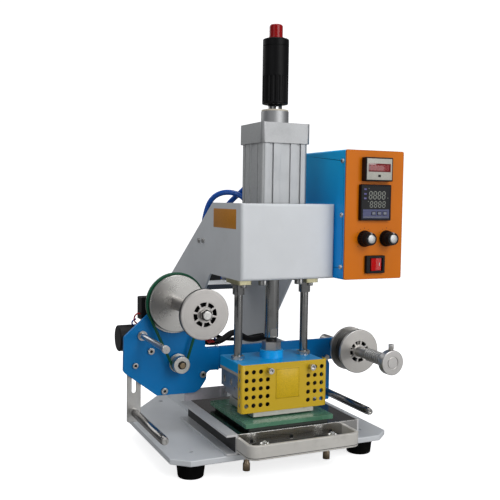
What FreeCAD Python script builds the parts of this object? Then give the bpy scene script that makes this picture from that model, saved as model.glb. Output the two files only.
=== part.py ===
import FreeCAD, Part
import math
import os

# Pneumatic hot foil stamper, bench type.
# Millimetres, +Z up.  The origin lies on the bench, straight below the axis of the
# air cylinder.  X runs across the machine, -Y is the operator's side (the front).
# Each piece has a function of the same name, listed in PIECES at the end.

Vector = FreeCAD.Vector
X, Y, Z = Vector(1, 0, 0), Vector(0, 1, 0), Vector(0, 0, 1)
SIDES = (-1, 1)

# ---------------------------------------------------------------- driving sizes
RUNNING = 0.05                  # radial running clearance

FOOT_HEIGHT = 25.0
BASE_TOP = FOOT_HEIGHT + 8.0
BASE_HALF = 168.0
BASE_FRONT, BASE_REAR = -66.0, 280.0

HEAD_HALF = 72.0                # to the outer faces of the frame's side plates
SHEET = 3.0                     # frame sheet thickness
HEAD_INNER = HEAD_HALF - SHEET
HEAD_FRONT = -51.0
HEAD_BOTTOM, HEAD_TOP = 263.6, 368.0
LEG_FRONT, LEG_REAR = 140.0, 275.0

CAP_HALF = 37.5                 # cylinder end caps
BORE_RADIUS = 31.5
CAP_BOTTOM = HEAD_BOTTOM + 12.0             # the cylinder stands on the head plate
BARREL_BOTTOM, BARREL_TOP, CAP_TOP = 303.0, 450.8, 478.6
GLAND_TOP = 497.0
ROD_RADIUS = 10.0
THREAD_RADIUS = 7.95            # threaded upper end of the rod

GUIDE_X = 52.6
GUIDE_RADIUS = 6.0

PLATEN_HALF, PLATEN_FRONT, PLATEN_REAR = 64.0, -41.0, 38.0
PLATEN_BOTTOM, PLATEN_TOP = 133.0, 147.0
BOSS_TOP = 158.0
HEATER_TOP, HEATER_BOTTOM = 128.5, 104.0
HOLDER_BOTTOM = 84.5
GUARD_FRONT, GUARD_SHEET = -46.0, 1.2

PLATE_FRONT = 70.0              # spool plate
PLATE_REAR = PLATE_FRONT + 5.0
BAR_FRONT = PLATE_REAR          # cross bar
BAR_REAR = BAR_FRONT + 6.0
BAR_BOTTOM, BAR_TOP = 117.2, 151.2
BAR_RIGHT = 166.0

# axes along Y, as (x, z)
TAKE_UP = (-125.0, 222.5)
FEED = (-119.0, 133.5)
UNWIND = (150.0, 143.5)
GUIDE_PIN = (-172.0, 176.4)
BELT_Y = 60.0
BELT_RADIUS = 2.0
DISC_PITCH, FEED_PITCH = 42.6, 10.5         # radii of the belt's centre line
SPOOL_RADIUS = 33.5
SPINDLE_RADIUS = 6.0
FEED_SHAFT_RADIUS = 4.0

LEFT_ROLLER_X, RIGHT_ROLLER_X, ROLLER_Z = -182.0, 138.0, 64.5
ROLLER_RADIUS = 5.8
AXLE_RADIUS = 3.0
LEFT_BRACKET_Y, RIGHT_BRACKET_Y = 75.2, 81.2
BRACKET_BOTTOM = 50

BOX_LEFT, BOX_RIGHT = HEAD_HALF, 167.0      # control box
BOX_FRONT, BOX_REAR = -75.0, 58.0
BOX_BOTTOM, BOX_TOP = HEAD_BOTTOM, 443.4
PANEL_FRONT = BOX_FRONT - 2.0

RAIL_TOP = 61.0
TABLE_LEFT, TABLE_RIGHT = -79.7, 105.7

# ---------------------------------------------------------------- hole and screw places
# along Z, as (x, y)
LEVEL_SCREWS = [(-63, -57.5), (61.5, -57.5)]
FEET = [(-133, -30), (133, -30), (-92, 228), (92, 228)]
FRAME_BOLTS = [(side * 60.5, y) for side in SIDES for y in (165, 250)]
GUIDES = [(side * GUIDE_X, 0) for side in SIDES]
FLANGE_SCREW_Y = 16.5
FLANGE_SCREWS = [(x, side * FLANGE_SCREW_Y) for x, y in GUIDES for side in SIDES]
CAP_BOLTS = [(sx * 28.25, sy * 28.25) for sx in SIDES for sy in SIDES]
TRAY_STUDS = [(-51, -88), (53, -88)]
# along Y, as (x, z)
GUARD_SCREWS = [(-25.5, 139.0), (39.5, 139.0)]
VALVE_PORTS = [(-50, 243), (-30, 243)]
RIGHT_CLAMP = (RIGHT_ROLLER_X - 2, 121.0)
# spool plate screws as (x, z, whether it clamps the left bracket)
PLATE_SCREWS = [(-158.7, 152.7, False), (LEFT_ROLLER_X, 133.3, True),
                (-138.2, 92.6, False), (-78.5, 112.0, False)]
# along X, as (y, z)
VALVE_SCREWS = [(105.9, 309.7), (88.9, 310.6)]
BOX_SCREWS = [(-69.0, 427.6), (-69.0, 353.3), (-69.0, 281.0)]
CARTRIDGES = [(-24.0, 115), (0.0, 115), (24.0, 115)]


# ---------------------------------------------------------------- helpers
def box(x0, x1, y0, y1, z0, z1):
    return Part.makeBox(x1 - x0, y1 - y0, z1 - z0, Vector(x0, y0, z0))


def cyl_z(x, y, z0, z1, radius):
    return Part.makeCylinder(radius, z1 - z0, Vector(x, y, z0), Z)


def cyl_y(x, z, y0, y1, radius):
    return Part.makeCylinder(radius, y1 - y0, Vector(x, y0, z), Y)


def cyl_x(y, z, x0, x1, radius):
    return Part.makeCylinder(radius, x1 - x0, Vector(x0, y, z), X)


def cone_y(x, z, y0, y1, radius0, radius1):
    return Part.makeCone(radius0, radius1, y1 - y0, Vector(x, y0, z), Y)


def cone_z(x, y, z0, z1, radius0, radius1):
    return Part.makeCone(radius0, radius1, z1 - z0, Vector(x, y, z0), Z)


def ring(cylinder, a, b, start, end, outer, inner):
    """Ring made with one of the cyl_ functions, which takes a, b, start and end."""
    return cylinder(a, b, start, end, outer).cut(cylinder(a, b, start - 1, end + 1, inner))


def drill(shape, cylinder, points, start, end, radius):
    """Cut a hole at each point with one of the cyl_ functions."""
    for a, b in points:
        shape = shape.cut(cylinder(a, b, start, end, radius))
    return shape


def extrude(points, direction):
    return Part.Face(Part.makePolygon(points + [points[0]])).extrude(direction)


def prism_xy(outline, z0, z1):
    return extrude([Vector(x, y, z0) for x, y in outline], Vector(0, 0, z1 - z0))


def prism_xz(outline, y0, y1):
    return extrude([Vector(x, y0, z) for x, z in outline], Vector(0, y1 - y0, 0))


def prism_yz(outline, x0, x1):
    return extrude([Vector(x0, y, z) for y, z in outline], Vector(x1 - x0, 0, 0))


def hexagon(a, b, across_flats):
    radius = across_flats / math.sqrt(3)
    angles = [math.radians(60 * i + 30) for i in range(6)]
    return [(a + radius * math.cos(t), b + radius * math.sin(t)) for t in angles]


def hex_z(x, y, z0, z1, across_flats):
    return prism_xy(hexagon(x, y, across_flats), z0, z1)


def hex_y(x, z, y0, y1, across_flats):
    return prism_xz(hexagon(x, z, across_flats), y0, y1)


def along(edge, axis):
    if len(edge.Vertexes) != 2:
        return False
    span = edge.Vertexes[1].Point.sub(edge.Vertexes[0].Point)
    if span.Length < 1e-6:
        return False
    span = span.multiply(1.0 / span.Length)
    return abs(abs(span.dot(axis)) - 1) < 1e-6


def line(axis, **place):
    """Selector: edges along axis that start at the given x, y or z."""
    return lambda edge: along(edge, axis) and all(
        abs(getattr(edge.Vertexes[0].Point, name) - value) < 0.01
        for name, value in place.items())


def at(**limits):
    """Selector: edges whose bounding box has the given limits, such as ZMin=5."""
    return lambda edge: all(
        abs(getattr(edge.BoundBox, name) - value) < 0.01 for name, value in limits.items())


def rounded(shape, radius, *selectors):
    """Fillet the edges that any selector picks."""
    edges = [edge for edge in shape.Edges if any(pick(edge) for pick in selectors)]
    # A fillet the kernel refuses, or one that spoils the solid, leaves the edges sharp.
    try:
        result = shape.makeFillet(radius, edges)
        if result.isValid() and result.Volume > 0:
            return result
    except Exception:
        pass
    return shape


def knurled(x, y, z0, z1, radius, count, groove_radius):
    shape = cyl_z(x, y, z0, z1, radius)
    for i in range(count):
        angle = 2 * math.pi * i / count
        shape = shape.cut(cyl_z(x + radius * math.cos(angle), y + radius * math.sin(angle),
                                z0 - 1, z1 + 1, groove_radius))
    return shape


def sweep(path, centre, normal, radius, frenet=False):
    section = Part.Wire([Part.Edge(Part.Circle(centre, normal, radius))])
    return path.makePipeShell([section], True, frenet)


def tube(points, radius):
    """Round bar along a smooth curve through the points."""
    curve = Part.BSplineCurve()
    curve.interpolate([Vector(*point) for point in points])
    tangent = curve.tangent(curve.FirstParameter)[0]
    return sweep(Part.Wire([curve.toShape()]), Vector(*points[0]), tangent, radius)


def export(name, shapes):
    if not isinstance(shapes, list):
        shapes = [shapes]
    solids = [solid for shape in shapes for solid in shape.removeSplitter().Solids]
    result = solids[0] if len(solids) == 1 else Part.makeCompound(solids)
    result.exportStep("parts/" + name + ".step")


# ---------------------------------------------------------------- base
def base_plate():
    outline = [(-146, BASE_FRONT), (146, BASE_FRONT), (BASE_HALF, -46), (BASE_HALF, 162),
               (77, BASE_REAR), (-77, BASE_REAR), (-BASE_HALF, 162), (-BASE_HALF, -46)]
    plate = prism_xy(outline, FOOT_HEIGHT, BASE_TOP)
    plate = rounded(plate, 1.4, lambda edge: not along(edge, Z))
    for points, radius in ((LEVEL_SCREWS, 3.0), (FEET, 3.2), (FRAME_BOLTS, 3.02)):
        plate = drill(plate, cyl_z, points, FOOT_HEIGHT - 1, BASE_TOP + 1, radius)
    return plate


def rubber_feet():
    feet = []
    for x, y in FEET:
        foot = rounded(cone_z(x, y, 0, FOOT_HEIGHT, 17.5, 20.5), 2.0, at(ZMax=0))
        foot = foot.cut(cyl_z(x, y, -1, 10, 7))
        feet.append(foot.cut(cyl_z(x, y, 0, FOOT_HEIGHT + 1, 3.2)))
    return feet


def level_screws():
    return [knurled(x, y, 7, 17, 5.0, 16, 0.45)
            .fuse(cyl_z(x, y, 17, 21, 4.0))
            .fuse(cyl_z(x, y, 21, BASE_TOP, 2.95)) for x, y in LEVEL_SCREWS]


# ---------------------------------------------------------------- frame and head
BROW_Y = 54         # rear end of the flat top edge
KNEE_Z = 223        # lower end of the sloping rear edge


def frame_shell():
    """One bent sheet: a front and two C-shaped sides with inward feet."""
    # side view as (y, z)
    profile = [(HEAD_FRONT, HEAD_TOP), (BROW_Y, HEAD_TOP), (LEG_REAR, KNEE_Z),
               (LEG_REAR, BASE_TOP), (LEG_FRONT, BASE_TOP), (LEG_FRONT, 120),
               (BAR_REAR, 120), (BAR_REAR, 148), (LEG_FRONT, 148), (LEG_FRONT, 170),
               (62, HEAD_BOTTOM), (HEAD_FRONT, HEAD_BOTTOM)]
    side_view = prism_yz(profile, -HEAD_HALF, HEAD_HALF)
    side_view = rounded(side_view, 4.0, line(X, y=HEAD_FRONT))
    side_view = rounded(side_view, 14.0, line(X, y=BROW_Y))
    side_view = rounded(side_view, 20.0, line(X, y=LEG_REAR, z=KNEE_Z))
    outer = box(-HEAD_HALF, HEAD_HALF, HEAD_FRONT, 400, 0, 500)
    outer = rounded(outer, 5.0, line(Z, y=HEAD_FRONT))
    inner = box(-HEAD_INNER, HEAD_INNER, HEAD_FRONT + SHEET, 401, -1, 501)
    inner = rounded(inner, 2.0, line(Z, y=HEAD_FRONT + SHEET))
    shell = outer.cut(inner).common(side_view)
    foot_x = 50.0
    for side in SIDES:
        x0, x1 = sorted((side * foot_x, side * (HEAD_INNER + 0.5)))
        foot = box(x0, x1, 144, 271, BASE_TOP, BASE_TOP + SHEET)
        shell = shell.fuse(rounded(foot, 6.0, line(Z, x=side * foot_x)))
    shell = drill(shell, cyl_z, FRAME_BOLTS, BASE_TOP - 1, BASE_TOP + SHEET + 1, 3.2)
    return drill(shell, cyl_x, VALVE_SCREWS, -HEAD_HALF - 1, -HEAD_INNER + 1, 2.1)


def frame_back_plate():
    """Sloping rear cover between the side plates."""
    profile = [(180, 285.3), (265.5, 229.2), (263.85, 226.7), (178.35, 282.8)]
    return prism_yz(profile, -HEAD_INNER, HEAD_INNER)


def head_plate():
    """Carries the cylinder and the guide bushings."""
    front = HEAD_FRONT + SHEET
    plate = box(-HEAD_INNER, HEAD_INNER, front, 60, HEAD_BOTTOM, CAP_BOTTOM)
    plate = rounded(plate, 2.0, line(Z, y=front))
    for points, radius in (([(0, 0)], 13), (GUIDES, 8.55), (CAP_BOLTS, 4.2),
                           (FLANGE_SCREWS, 2.6)):
        plate = drill(plate, cyl_z, points, HEAD_BOTTOM - 1, CAP_BOTTOM + 1, radius)
    return plate


FLANGE_BOTTOM = HEAD_BOTTOM - 8.6


def guide_bushings():
    bushings = []
    for x, y in GUIDES:
        bushing = rounded(box(x - 10, x + 10, -23, 23, FLANGE_BOTTOM, HEAD_BOTTOM), 2.0, line(Z))
        bushing = bushing.fuse(cyl_z(x, 0, 239.5, CAP_BOTTOM, 8.5))
        bushing = bushing.cut(cyl_z(x, 0, 239, 280, GUIDE_RADIUS + RUNNING))
        screws = [(x, -FLANGE_SCREW_Y), (x, FLANGE_SCREW_Y)]
        bushings.append(drill(bushing, cyl_z, screws, 250, 264, 2.6))
    return bushings


def head_bolts():
    """Socket screws from below: four for the bushings, four for the cylinder."""
    bolts = []
    for x, y in FLANGE_SCREWS:
        bolt = cyl_z(x, y, 250.2, FLANGE_BOTTOM, 4.2).fuse(cyl_z(x, y, FLANGE_BOTTOM, 272, 2.5))
        bolts.append(bolt.cut(hex_z(x, y, 250, 252.6, 4)))
    head_z = 254.6
    for x, y in CAP_BOLTS:
        bolt = rounded(cyl_z(x, y, head_z, HEAD_BOTTOM, 6.5), 0.6, at(ZMax=head_z))
        bolt = bolt.cut(hex_z(x, y, 254, 258.6, 6))
        bolts.append(bolt.fuse(cyl_z(x, y, HEAD_BOTTOM, 290, 4.0)))
    return bolts


# ---------------------------------------------------------------- air cylinder
TOP_PORT = (0, 464.5)           # (x, z)
BOTTOM_PORT = (-12, 289.5)


def square_block(half, z0, z1, corner):
    return rounded(box(-half, half, -half, half, z0, z1), corner, line(Z))


def cylinder_bottom_cap():
    cap = square_block(CAP_HALF, CAP_BOTTOM, BARREL_BOTTOM, 4.0)
    cap = cap.cut(cyl_z(0, 0, CAP_BOTTOM - 1, BARREL_BOTTOM + 1, ROD_RADIUS + RUNNING))
    cap = cap.cut(cyl_y(*BOTTOM_PORT, 26, 40, 5.0))
    return drill(cap, cyl_z, CAP_BOLTS, CAP_BOTTOM - 1, 292, 4.1)


def cylinder_barrel():
    """Extruded barrel: one wide shallow flute and two narrow ones on every side."""
    half = 35.0
    z0, z1 = BARREL_BOTTOM - 1, BARREL_TOP + 1
    barrel = square_block(half, BARREL_BOTTOM, BARREL_TOP, 5.0)
    for quarter in range(4):
        flutes = box(-8.0, 8.0, half - 1.8, half + 2, z0, z1)
        for x in (-21.0, 21.0):
            flutes = flutes.fuse(box(x - 3.0, x + 3.0, half - 2.4, half + 2, z0, z1))
        flutes = rounded(flutes, 1.2,
                         lambda edge: along(edge, Z) and edge.Vertexes[0].Point.y < half)
        flutes.rotate(Vector(0, 0, 0), Z, 90 * quarter)
        barrel = barrel.cut(flutes)
    return barrel.cut(cyl_z(0, 0, z0, z1, BORE_RADIUS))


def cylinder_top_cap():
    """End cap with its gland, and the collared washer in the gland."""
    washer_radius, washer_z = 14, GLAND_TOP - 2.5
    cap = square_block(CAP_HALF, BARREL_TOP, CAP_TOP, 5.0)
    cap = cap.fuse(cyl_z(0, 0, CAP_TOP, GLAND_TOP, 19.5))
    cap = cap.cut(cyl_z(0, 0, BARREL_TOP - 1, GLAND_TOP + 1, ROD_RADIUS + RUNNING))
    cap = drill(cap, cyl_z, CAP_BOLTS, CAP_TOP - 7, CAP_TOP + 1, 6.0)
    cap = cap.cut(cyl_y(*TOP_PORT, 26, 40, 5.0))
    cap = cap.cut(cyl_z(0, 0, washer_z, GLAND_TOP + 1, washer_radius))
    washer = cyl_z(0, 0, washer_z, GLAND_TOP, washer_radius)
    washer = washer.fuse(cyl_z(0, 0, GLAND_TOP, GLAND_TOP + 2.2, 19.0))
    return [cap, washer.cut(cyl_z(0, 0, GLAND_TOP - 3, GLAND_TOP + 3, ROD_RADIUS + 0.3))]


# ---------------------------------------------------------------- ram
FIT_RADIUS = GUIDE_RADIUS + 0.02            # fixed fit on the guide rods


def piston_rod():
    rod = cyl_z(0, 0, 176, 507, ROD_RADIUS)
    rod = rod.fuse(cyl_z(0, 0, 141, 176, 7.9)).fuse(cyl_z(0, 0, 507, 612, THREAD_RADIUS))
    for y0, y1 in ((-20, -8.5), (8.5, 20)):         # spanner flats
        rod = rod.cut(box(-20, 20, y0, y1, 177, 189))
    piston = ring(cyl_z, 0, 0, 306, 331, BORE_RADIUS - 0.1, ROD_RADIUS + 0.01)
    for z in (312, 321):                            # ring grooves
        piston = piston.cut(ring(cyl_z, 0, 0, z, z + 4, 40, 28.5))
    return [rod, piston]


def ram_fasteners():
    """Ram nut, guide rod nuts and the spaced screws of the heat guard."""
    chamfer = cone_z(0, 0, BOSS_TOP - 20, 172, 40, 12.2)
    nut = hex_z(0, 0, BOSS_TOP, 170, 24)
    nut = nut.common(chamfer.fuse(cyl_z(0, 0, BOSS_TOP, 167.5, 20)))
    fasteners = [nut.cut(cyl_z(0, 0, BOSS_TOP - 1, 171, THREAD_RADIUS))]
    washer_top = PLATEN_TOP + 1.5
    for x, y in GUIDES:
        nut = hex_z(x, 0, washer_top, PLATEN_TOP + 5.5, 17)
        nut = nut.fuse(cyl_z(x, 0, PLATEN_TOP, washer_top, 9.5))
        fasteners.append(nut.cut(cyl_z(x, 0, PLATEN_TOP - 1, PLATEN_TOP + 9, FIT_RADIUS)))
    seat = GUARD_FRONT - 4.0
    for x, z in GUARD_SCREWS:
        screw = cyl_y(x, z, seat - 5.0, seat, 4.2)
        screw = screw.fuse(cyl_y(x, z, seat, PLATEN_FRONT + 14, 2.5))
        screw = screw.cut(hex_y(x, z, seat - 5.0, seat - 2.25, 4.2))
        screw = screw.fuse(cyl_y(x, z, seat, GUARD_FRONT, 3.4))
        fasteners.append(screw.fuse(cyl_y(x, z, GUARD_FRONT + GUARD_SHEET, PLATEN_FRONT, 3.4)))
    return fasteners


def platen_plate():
    plate = box(-PLATEN_HALF, PLATEN_HALF, PLATEN_FRONT, PLATEN_REAR, PLATEN_BOTTOM, PLATEN_TOP)
    plate = rounded(plate, 1.5, line(Z), at(ZMin=PLATEN_TOP))
    plate = plate.fuse(cyl_z(0, 0, PLATEN_TOP - 1, BOSS_TOP, 17.0))
    plate = rounded(plate, 1.0, at(ZMin=BOSS_TOP, ZMax=BOSS_TOP))
    plate = plate.cut(cyl_z(0, 0, 140, BOSS_TOP + 1, THREAD_RADIUS))
    plate = drill(plate, cyl_z, GUIDES, 135, PLATEN_TOP + 1, FIT_RADIUS)
    return drill(plate, cyl_y, GUARD_SCREWS, PLATEN_FRONT - 1, PLATEN_FRONT + 16, 2.55)


def guide_rods():
    top = 290
    return [rounded(cyl_z(x, 0, 135, top, GUIDE_RADIUS), 0.8, at(ZMin=top)) for x, y in GUIDES]


def insulation_board():
    half = PLATEN_HALF - 0.5
    return box(-half, half, PLATEN_FRONT + 1, PLATEN_REAR, HEATER_TOP, PLATEN_BOTTOM)


def heater_block():
    block = box(-62, 62, -38, 37, HEATER_BOTTOM, HEATER_TOP)
    block = drill(block, cyl_x, CARTRIDGES, -63, 63, 5.05)
    return block.cut(cyl_x(-12, 109, -63, -30, 2.0))


def heater_cartridges():
    return [cyl_x(y, z, -60, 61.5, 5.0) for y, z in CARTRIDGES]


def die_holder():
    """Flat slab with a dovetail below."""
    front, rear, slab_z = -36, 34, 94
    dovetail = [(-50, slab_z), (50, slab_z), (44, HOLDER_BOTTOM), (-44, HOLDER_BOTTOM)]
    slab = box(-58, 58, front, rear, slab_z, HEATER_BOTTOM)
    return slab.fuse(prism_xz(dovetail, front, rear))


def die_plate():
    return rounded(box(-47.5, 47.5, -43, 40, 74.0, HOLDER_BOTTOM), 0.8, line(Z))


def heat_guard():
    """Perforated sheet bent back at both ends."""
    half, bottom, top = 66.5, 81.0, 148.0
    back_of_sheet = GUARD_FRONT + GUARD_SHEET
    guard = box(-half, half, GUARD_FRONT, GUARD_FRONT + 13, bottom, top)
    guard = rounded(guard, 4.0, line(Z, y=GUARD_FRONT))
    inside = box(-half + GUARD_SHEET, half - GUARD_SHEET, back_of_sheet, GUARD_FRONT + 20,
                 bottom - 1, top + 1)
    guard = guard.cut(rounded(inside, 2.8, line(Z, y=back_of_sheet)))
    pitch_x, pitch_z = 10.7, 11.6
    columns = [-59.0 + pitch_x * i for i in range(4)] + [36.5 + pitch_x * i for i in range(3)]
    for row in range(5):
        z = 137.6 - pitch_z * row
        # the guard screws take the place of the innermost holes in the top row
        row_columns = columns if row else columns[:3] + columns[5:]
        holes = [(x, z) for x in row_columns]
        guard = drill(guard, cyl_y, holes, GUARD_FRONT - 1, GUARD_FRONT + 3, 3.1)
        guard = guard.cut(cyl_x(GUARD_FRONT + 8.0, z, -half - 1, half + 1, 2.6))
    return drill(guard, cyl_y, GUARD_SCREWS, GUARD_FRONT - 1, GUARD_FRONT + 3, 2.7)


CAP_Z = 597.8           # lower face of the red end cap


def red_end_cap():
    top = 618
    cap = rounded(cyl_z(0, 0, CAP_Z, top, 9.4), 3.0, at(ZMin=top))
    return cap.fuse(cyl_z(0, 0, CAP_Z, 600.5, 10.4)).cut(cyl_z(0, 0, 590, 612.2, 8.0))


def stroke_knob():
    """Long sleeve nut, fluted at its lower half."""
    knob = rounded(cyl_z(0, 0, 507.2, 597.6, 18.4), 1.5, lambda edge: True)
    flutes = 18
    for i in range(flutes):
        angle = 2 * math.pi * i / flutes
        knob = knob.cut(cyl_z(19.6 * math.cos(angle), 19.6 * math.sin(angle), 510, 546, 2.4))
    knob = knob.cut(ring(cyl_z, 0, 0, 586.9, 588.1, 30, 17.4))
    return knob.cut(cyl_z(0, 0, 500, 600, THREAD_RADIUS + RUNNING))


# ---------------------------------------------------------------- pneumatics
# hose centre lines (x, y, z), from the cylinder fitting to the valve
TOP_HOSE = [
    (0, 48, 457.5), (0, 48, 454), (0, 48, 450), (0, 48, 444), (-4, 53, 414), (-16, 64, 390),
    (-30, 84, 370), (-36, 108, 345), (-36, 128, 312), (-34, 138, 282), (-31, 134, 257),
    (-30, 122, 244.8), (-30, 114, 243), (-30, 110, 243), (-30, 106, 243), (-30, 101.5, 243)]
BOTTOM_HOSE = [
    (-12, 48, 296.5), (-12, 48, 300), (-12, 48, 304), (-12, 48, 320), (-14, 49, 350),
    (-22, 54, 374), (-40, 68, 383), (-56, 88, 376), (-61, 108, 352), (-59, 124, 322),
    (-55, 130, 290), (-51, 129, 262), (-50, 122, 245.2), (-50, 114, 243), (-50, 110, 243),
    (-50, 106, 243), (-50, 101.5, 243)]


def solenoid_valve():
    body = rounded(box(-HEAD_INNER, -14, 90, 110, 236, 250), 1.5, line(X))
    body = drill(body, cyl_y, VALVE_PORTS, 100, 112, 4.1)
    coil = rounded(box(-64, -42, 91, 109, 250, 271), 2.0, line(Z))
    return [body, coil.fuse(cyl_z(-53, 100, 271, 274, 4.5))]


def elbow(port, nozzle, bore):
    """Elbow fitting in a port (x, z); nozzle and bore are its z ranges."""
    x, z = port
    fitting = cyl_y(x, z, 27, CAP_HALF, 4.9).fuse(hex_y(x, z, CAP_HALF, 43, 12))
    fitting = fitting.fuse(box(x - 5, x + 5, 43, 53, z - 5, z + 5))
    fitting = fitting.fuse(cyl_z(x, 48, *nozzle, 5.0))
    return fitting.cut(cyl_z(x, 48, *bore, 4.05))


def air_hoses():
    return [elbow(TOP_PORT, (452, 459.5), (451, 458)),
            elbow(BOTTOM_PORT, (294.5, 302), (296, 303)),
            tube(TOP_HOSE, 4.0), tube(BOTTOM_HOSE, 4.0)]


# ---------------------------------------------------------------- spool plate, cross bar, screws
# outline of the spool plate (x, z)
PLATE_OUTLINE = [
    (-150, 218.3), (-198.5, 175.5), (-199.2, 126.7), (-196.3, 122.7), (-149.1, 86.4),
    (-91.1, 85.5), (-82.6, 90.1), (-72.7, 104.1), (-72.2, 113.5), (-67.2, BAR_BOTTOM),
    (-52.8, BAR_BOTTOM), (-52.8, BAR_TOP), (-74.7, BAR_TOP), (-75.5, 170), (-86, 205),
    (-106, 240), (-132, 240)]


def spool_plate():
    plate = prism_xz(PLATE_OUTLINE, PLATE_FRONT, PLATE_REAR)
    plate = rounded(plate, 4.0, lambda edge: along(edge, Y) and edge.Vertexes[0].Point.x < -60)
    plate = rounded(plate, 0.6, at(YMax=PLATE_FRONT))
    for centre, radius in ((TAKE_UP, 11.0), (FEED, 5.5), (GUIDE_PIN, 4.02)):
        plate = plate.cut(cyl_y(*centre, 60, 80, radius))
    for x, z, clamps in PLATE_SCREWS:
        plate = plate.cut(cyl_y(x, z, 60, 80, 3.02 if clamps else 2.6))
    return plate


def cross_bar():
    bar = box(-108, BAR_RIGHT, BAR_FRONT, BAR_REAR, BAR_BOTTOM, BAR_TOP)
    bar = rounded(bar, 8.0, line(Y, x=BAR_RIGHT))
    bar = bar.cut(cyl_y(*UNWIND, 70, 90, SPINDLE_RADIUS + 0.02))
    return bar.cut(cyl_y(*RIGHT_CLAMP, 70, 90, 3.02))


def clamp_nut(x, z, y):
    return hex_y(x, z, y, y + 4.6, 10).cut(cyl_y(x, z, 70, 95, 3.0))


def steel_screws():
    screws = head_bolts()
    head = 3.2                                      # height of the plate screw heads
    for x, z, clamps in PLATE_SCREWS:
        front = PLATE_FRONT - head
        screw = cyl_y(x, z, front, PLATE_FRONT, 4.2 if clamps else 5.0)
        screw = rounded(screw, 0.8, at(YMax=front))
        screw = screw.cut(hex_y(x, z, PLATE_FRONT - 4, PLATE_FRONT - 1.4, 4))
        screws.append(screw.fuse(cyl_y(x, z, PLATE_FRONT, 84, 3.0 if clamps else 2.55)))
        if clamps:
            screws.append(clamp_nut(x, z, 78.4))
    screw = cyl_y(*RIGHT_CLAMP, BAR_FRONT - head, BAR_FRONT, 4.2)
    screws.append(screw.fuse(cyl_y(*RIGHT_CLAMP, BAR_FRONT, 90, 3.0)))
    screws.append(clamp_nut(*RIGHT_CLAMP, 84.4))
    for y, z in VALVE_SCREWS:
        screw = cyl_x(y, z, -HEAD_HALF - 2.2, -HEAD_HALF, 3.6)
        screws.append(screw.fuse(cyl_x(y, z, -HEAD_HALF, -64, 2.0)))
        screws.append(ring(cyl_x, y, z, -HEAD_INNER, -66, 3.8, 2.0))
    for y, z in BOX_SCREWS:
        for x, outward in ((BOX_LEFT, -1), (BOX_RIGHT, 1)):
            screw = cyl_x(y, z, *sorted((x, x + outward * 2.1)), 3.0)
            screws.append(screw.fuse(cyl_x(y, z, *sorted((x, x - outward * 5.0)), 1.7)))
    seat = BASE_TOP + SHEET
    for x, y in FRAME_BOLTS:
        bolt = hex_z(x, y, seat, seat + 4, 10)
        screws.append(bolt.fuse(cyl_z(x, y, FOOT_HEIGHT + 0.5, seat, 3.0)))
    return screws


# ---------------------------------------------------------------- foil drive
def gear_motor():
    """Motor with its gearbox, and a separate block behind the top of the spool plate."""
    left = -200
    motor = rounded(cyl_x(100, 169, left, -140, 19.0), 2.0, at(XMax=left))
    gearbox = rounded(box(-142, -97, 82, 112, 111, 190), 2.0, line(Y))
    motor = motor.fuse(gearbox).cut(cyl_y(*FEED, 80, 104, FEED_SHAFT_RADIUS + 0.1))
    return [motor, rounded(box(-171, -140, 77, 98, 197, 230), 1.5, line(Y))]


def guide_pin():
    pin = cyl_y(*GUIDE_PIN, -36, PLATE_REAR, 4.0)
    return pin.fuse(cyl_y(*GUIDE_PIN, -41, -36, 5.2)).fuse(cyl_y(*GUIDE_PIN, 66.5, 70, 7.0))


def spool_bearing():
    bearing = cyl_y(*TAKE_UP, PLATE_FRONT, 78, 11.0)
    bearing = bearing.fuse(cyl_y(*TAKE_UP, PLATE_REAR, 95, 14.0))
    return bearing.cut(cyl_y(*TAKE_UP, 60, 99, SPINDLE_RADIUS + RUNNING))


def radial_bar(centre, x0, x1, y0, y1, width, angle):
    """Bar reaching from radius x0 to x1, turned about the spool axis."""
    bar = box(x0, x1, y0, y1, -width / 2.0, width / 2.0)
    bar.rotate(Vector(0, 0, 0), Y, angle)
    bar.translate(Vector(centre[0], 0, centre[1]))
    return bar


def slotted(disc, centre, y0, y1):
    """Cut a ring of slots parted by webs through a spool disc."""
    inner, outer, count, web = 10.8, 16.2, 8, 2.6
    slots = ring(cyl_y, *centre, y0, y1, outer, inner)
    for i in range(count):
        angle = 360.0 * i / count + 12
        slots = slots.cut(radial_bar(centre, 0, outer + 2, y0 - 1, y1 + 1, web, angle))
    return disc.cut(slots)


def belt_groove(centre, pitch):
    return Part.makeTorus(pitch, BELT_RADIUS + 0.1, Vector(centre[0], BELT_Y, centre[1]), Y)


def drive_disc():
    """The round belt sits half proud on the rim, held by a larger rear flange."""
    disc = rounded(cyl_y(*TAKE_UP, 52, 60, 41.2), 1.0, at(YMax=52))
    disc = disc.fuse(cyl_y(*TAKE_UP, 60, 62.15, 42.0)).fuse(cyl_y(*TAKE_UP, 62.15, 64.5, 44.0))
    disc = disc.cut(belt_groove(TAKE_UP, DISC_PITCH))
    disc = disc.cut(cyl_y(*TAKE_UP, 50, 70, SPINDLE_RADIUS))
    return disc.cut(ring(cyl_y, *TAKE_UP, 58.5, 66, 34, 16))


def front_disc():
    """Slotted front disc of the take-up spool with its long sleeve."""
    disc = rounded(cyl_y(*TAKE_UP, -58, -50, SPOOL_RADIUS), 1.0, at(YMax=-58))
    disc = disc.cut(ring(cyl_y, *TAKE_UP, -59, -57.2, 9.8, 7.4))
    disc = slotted(disc, TAKE_UP, -59, -49)
    disc = disc.cut(ring(cyl_y, *TAKE_UP, -56, -49, 30, 18))
    disc = disc.fuse(cyl_y(*TAKE_UP, -52, 52, 9.5))
    return disc.cut(cyl_y(*TAKE_UP, -60, 60, SPINDLE_RADIUS))


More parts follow.
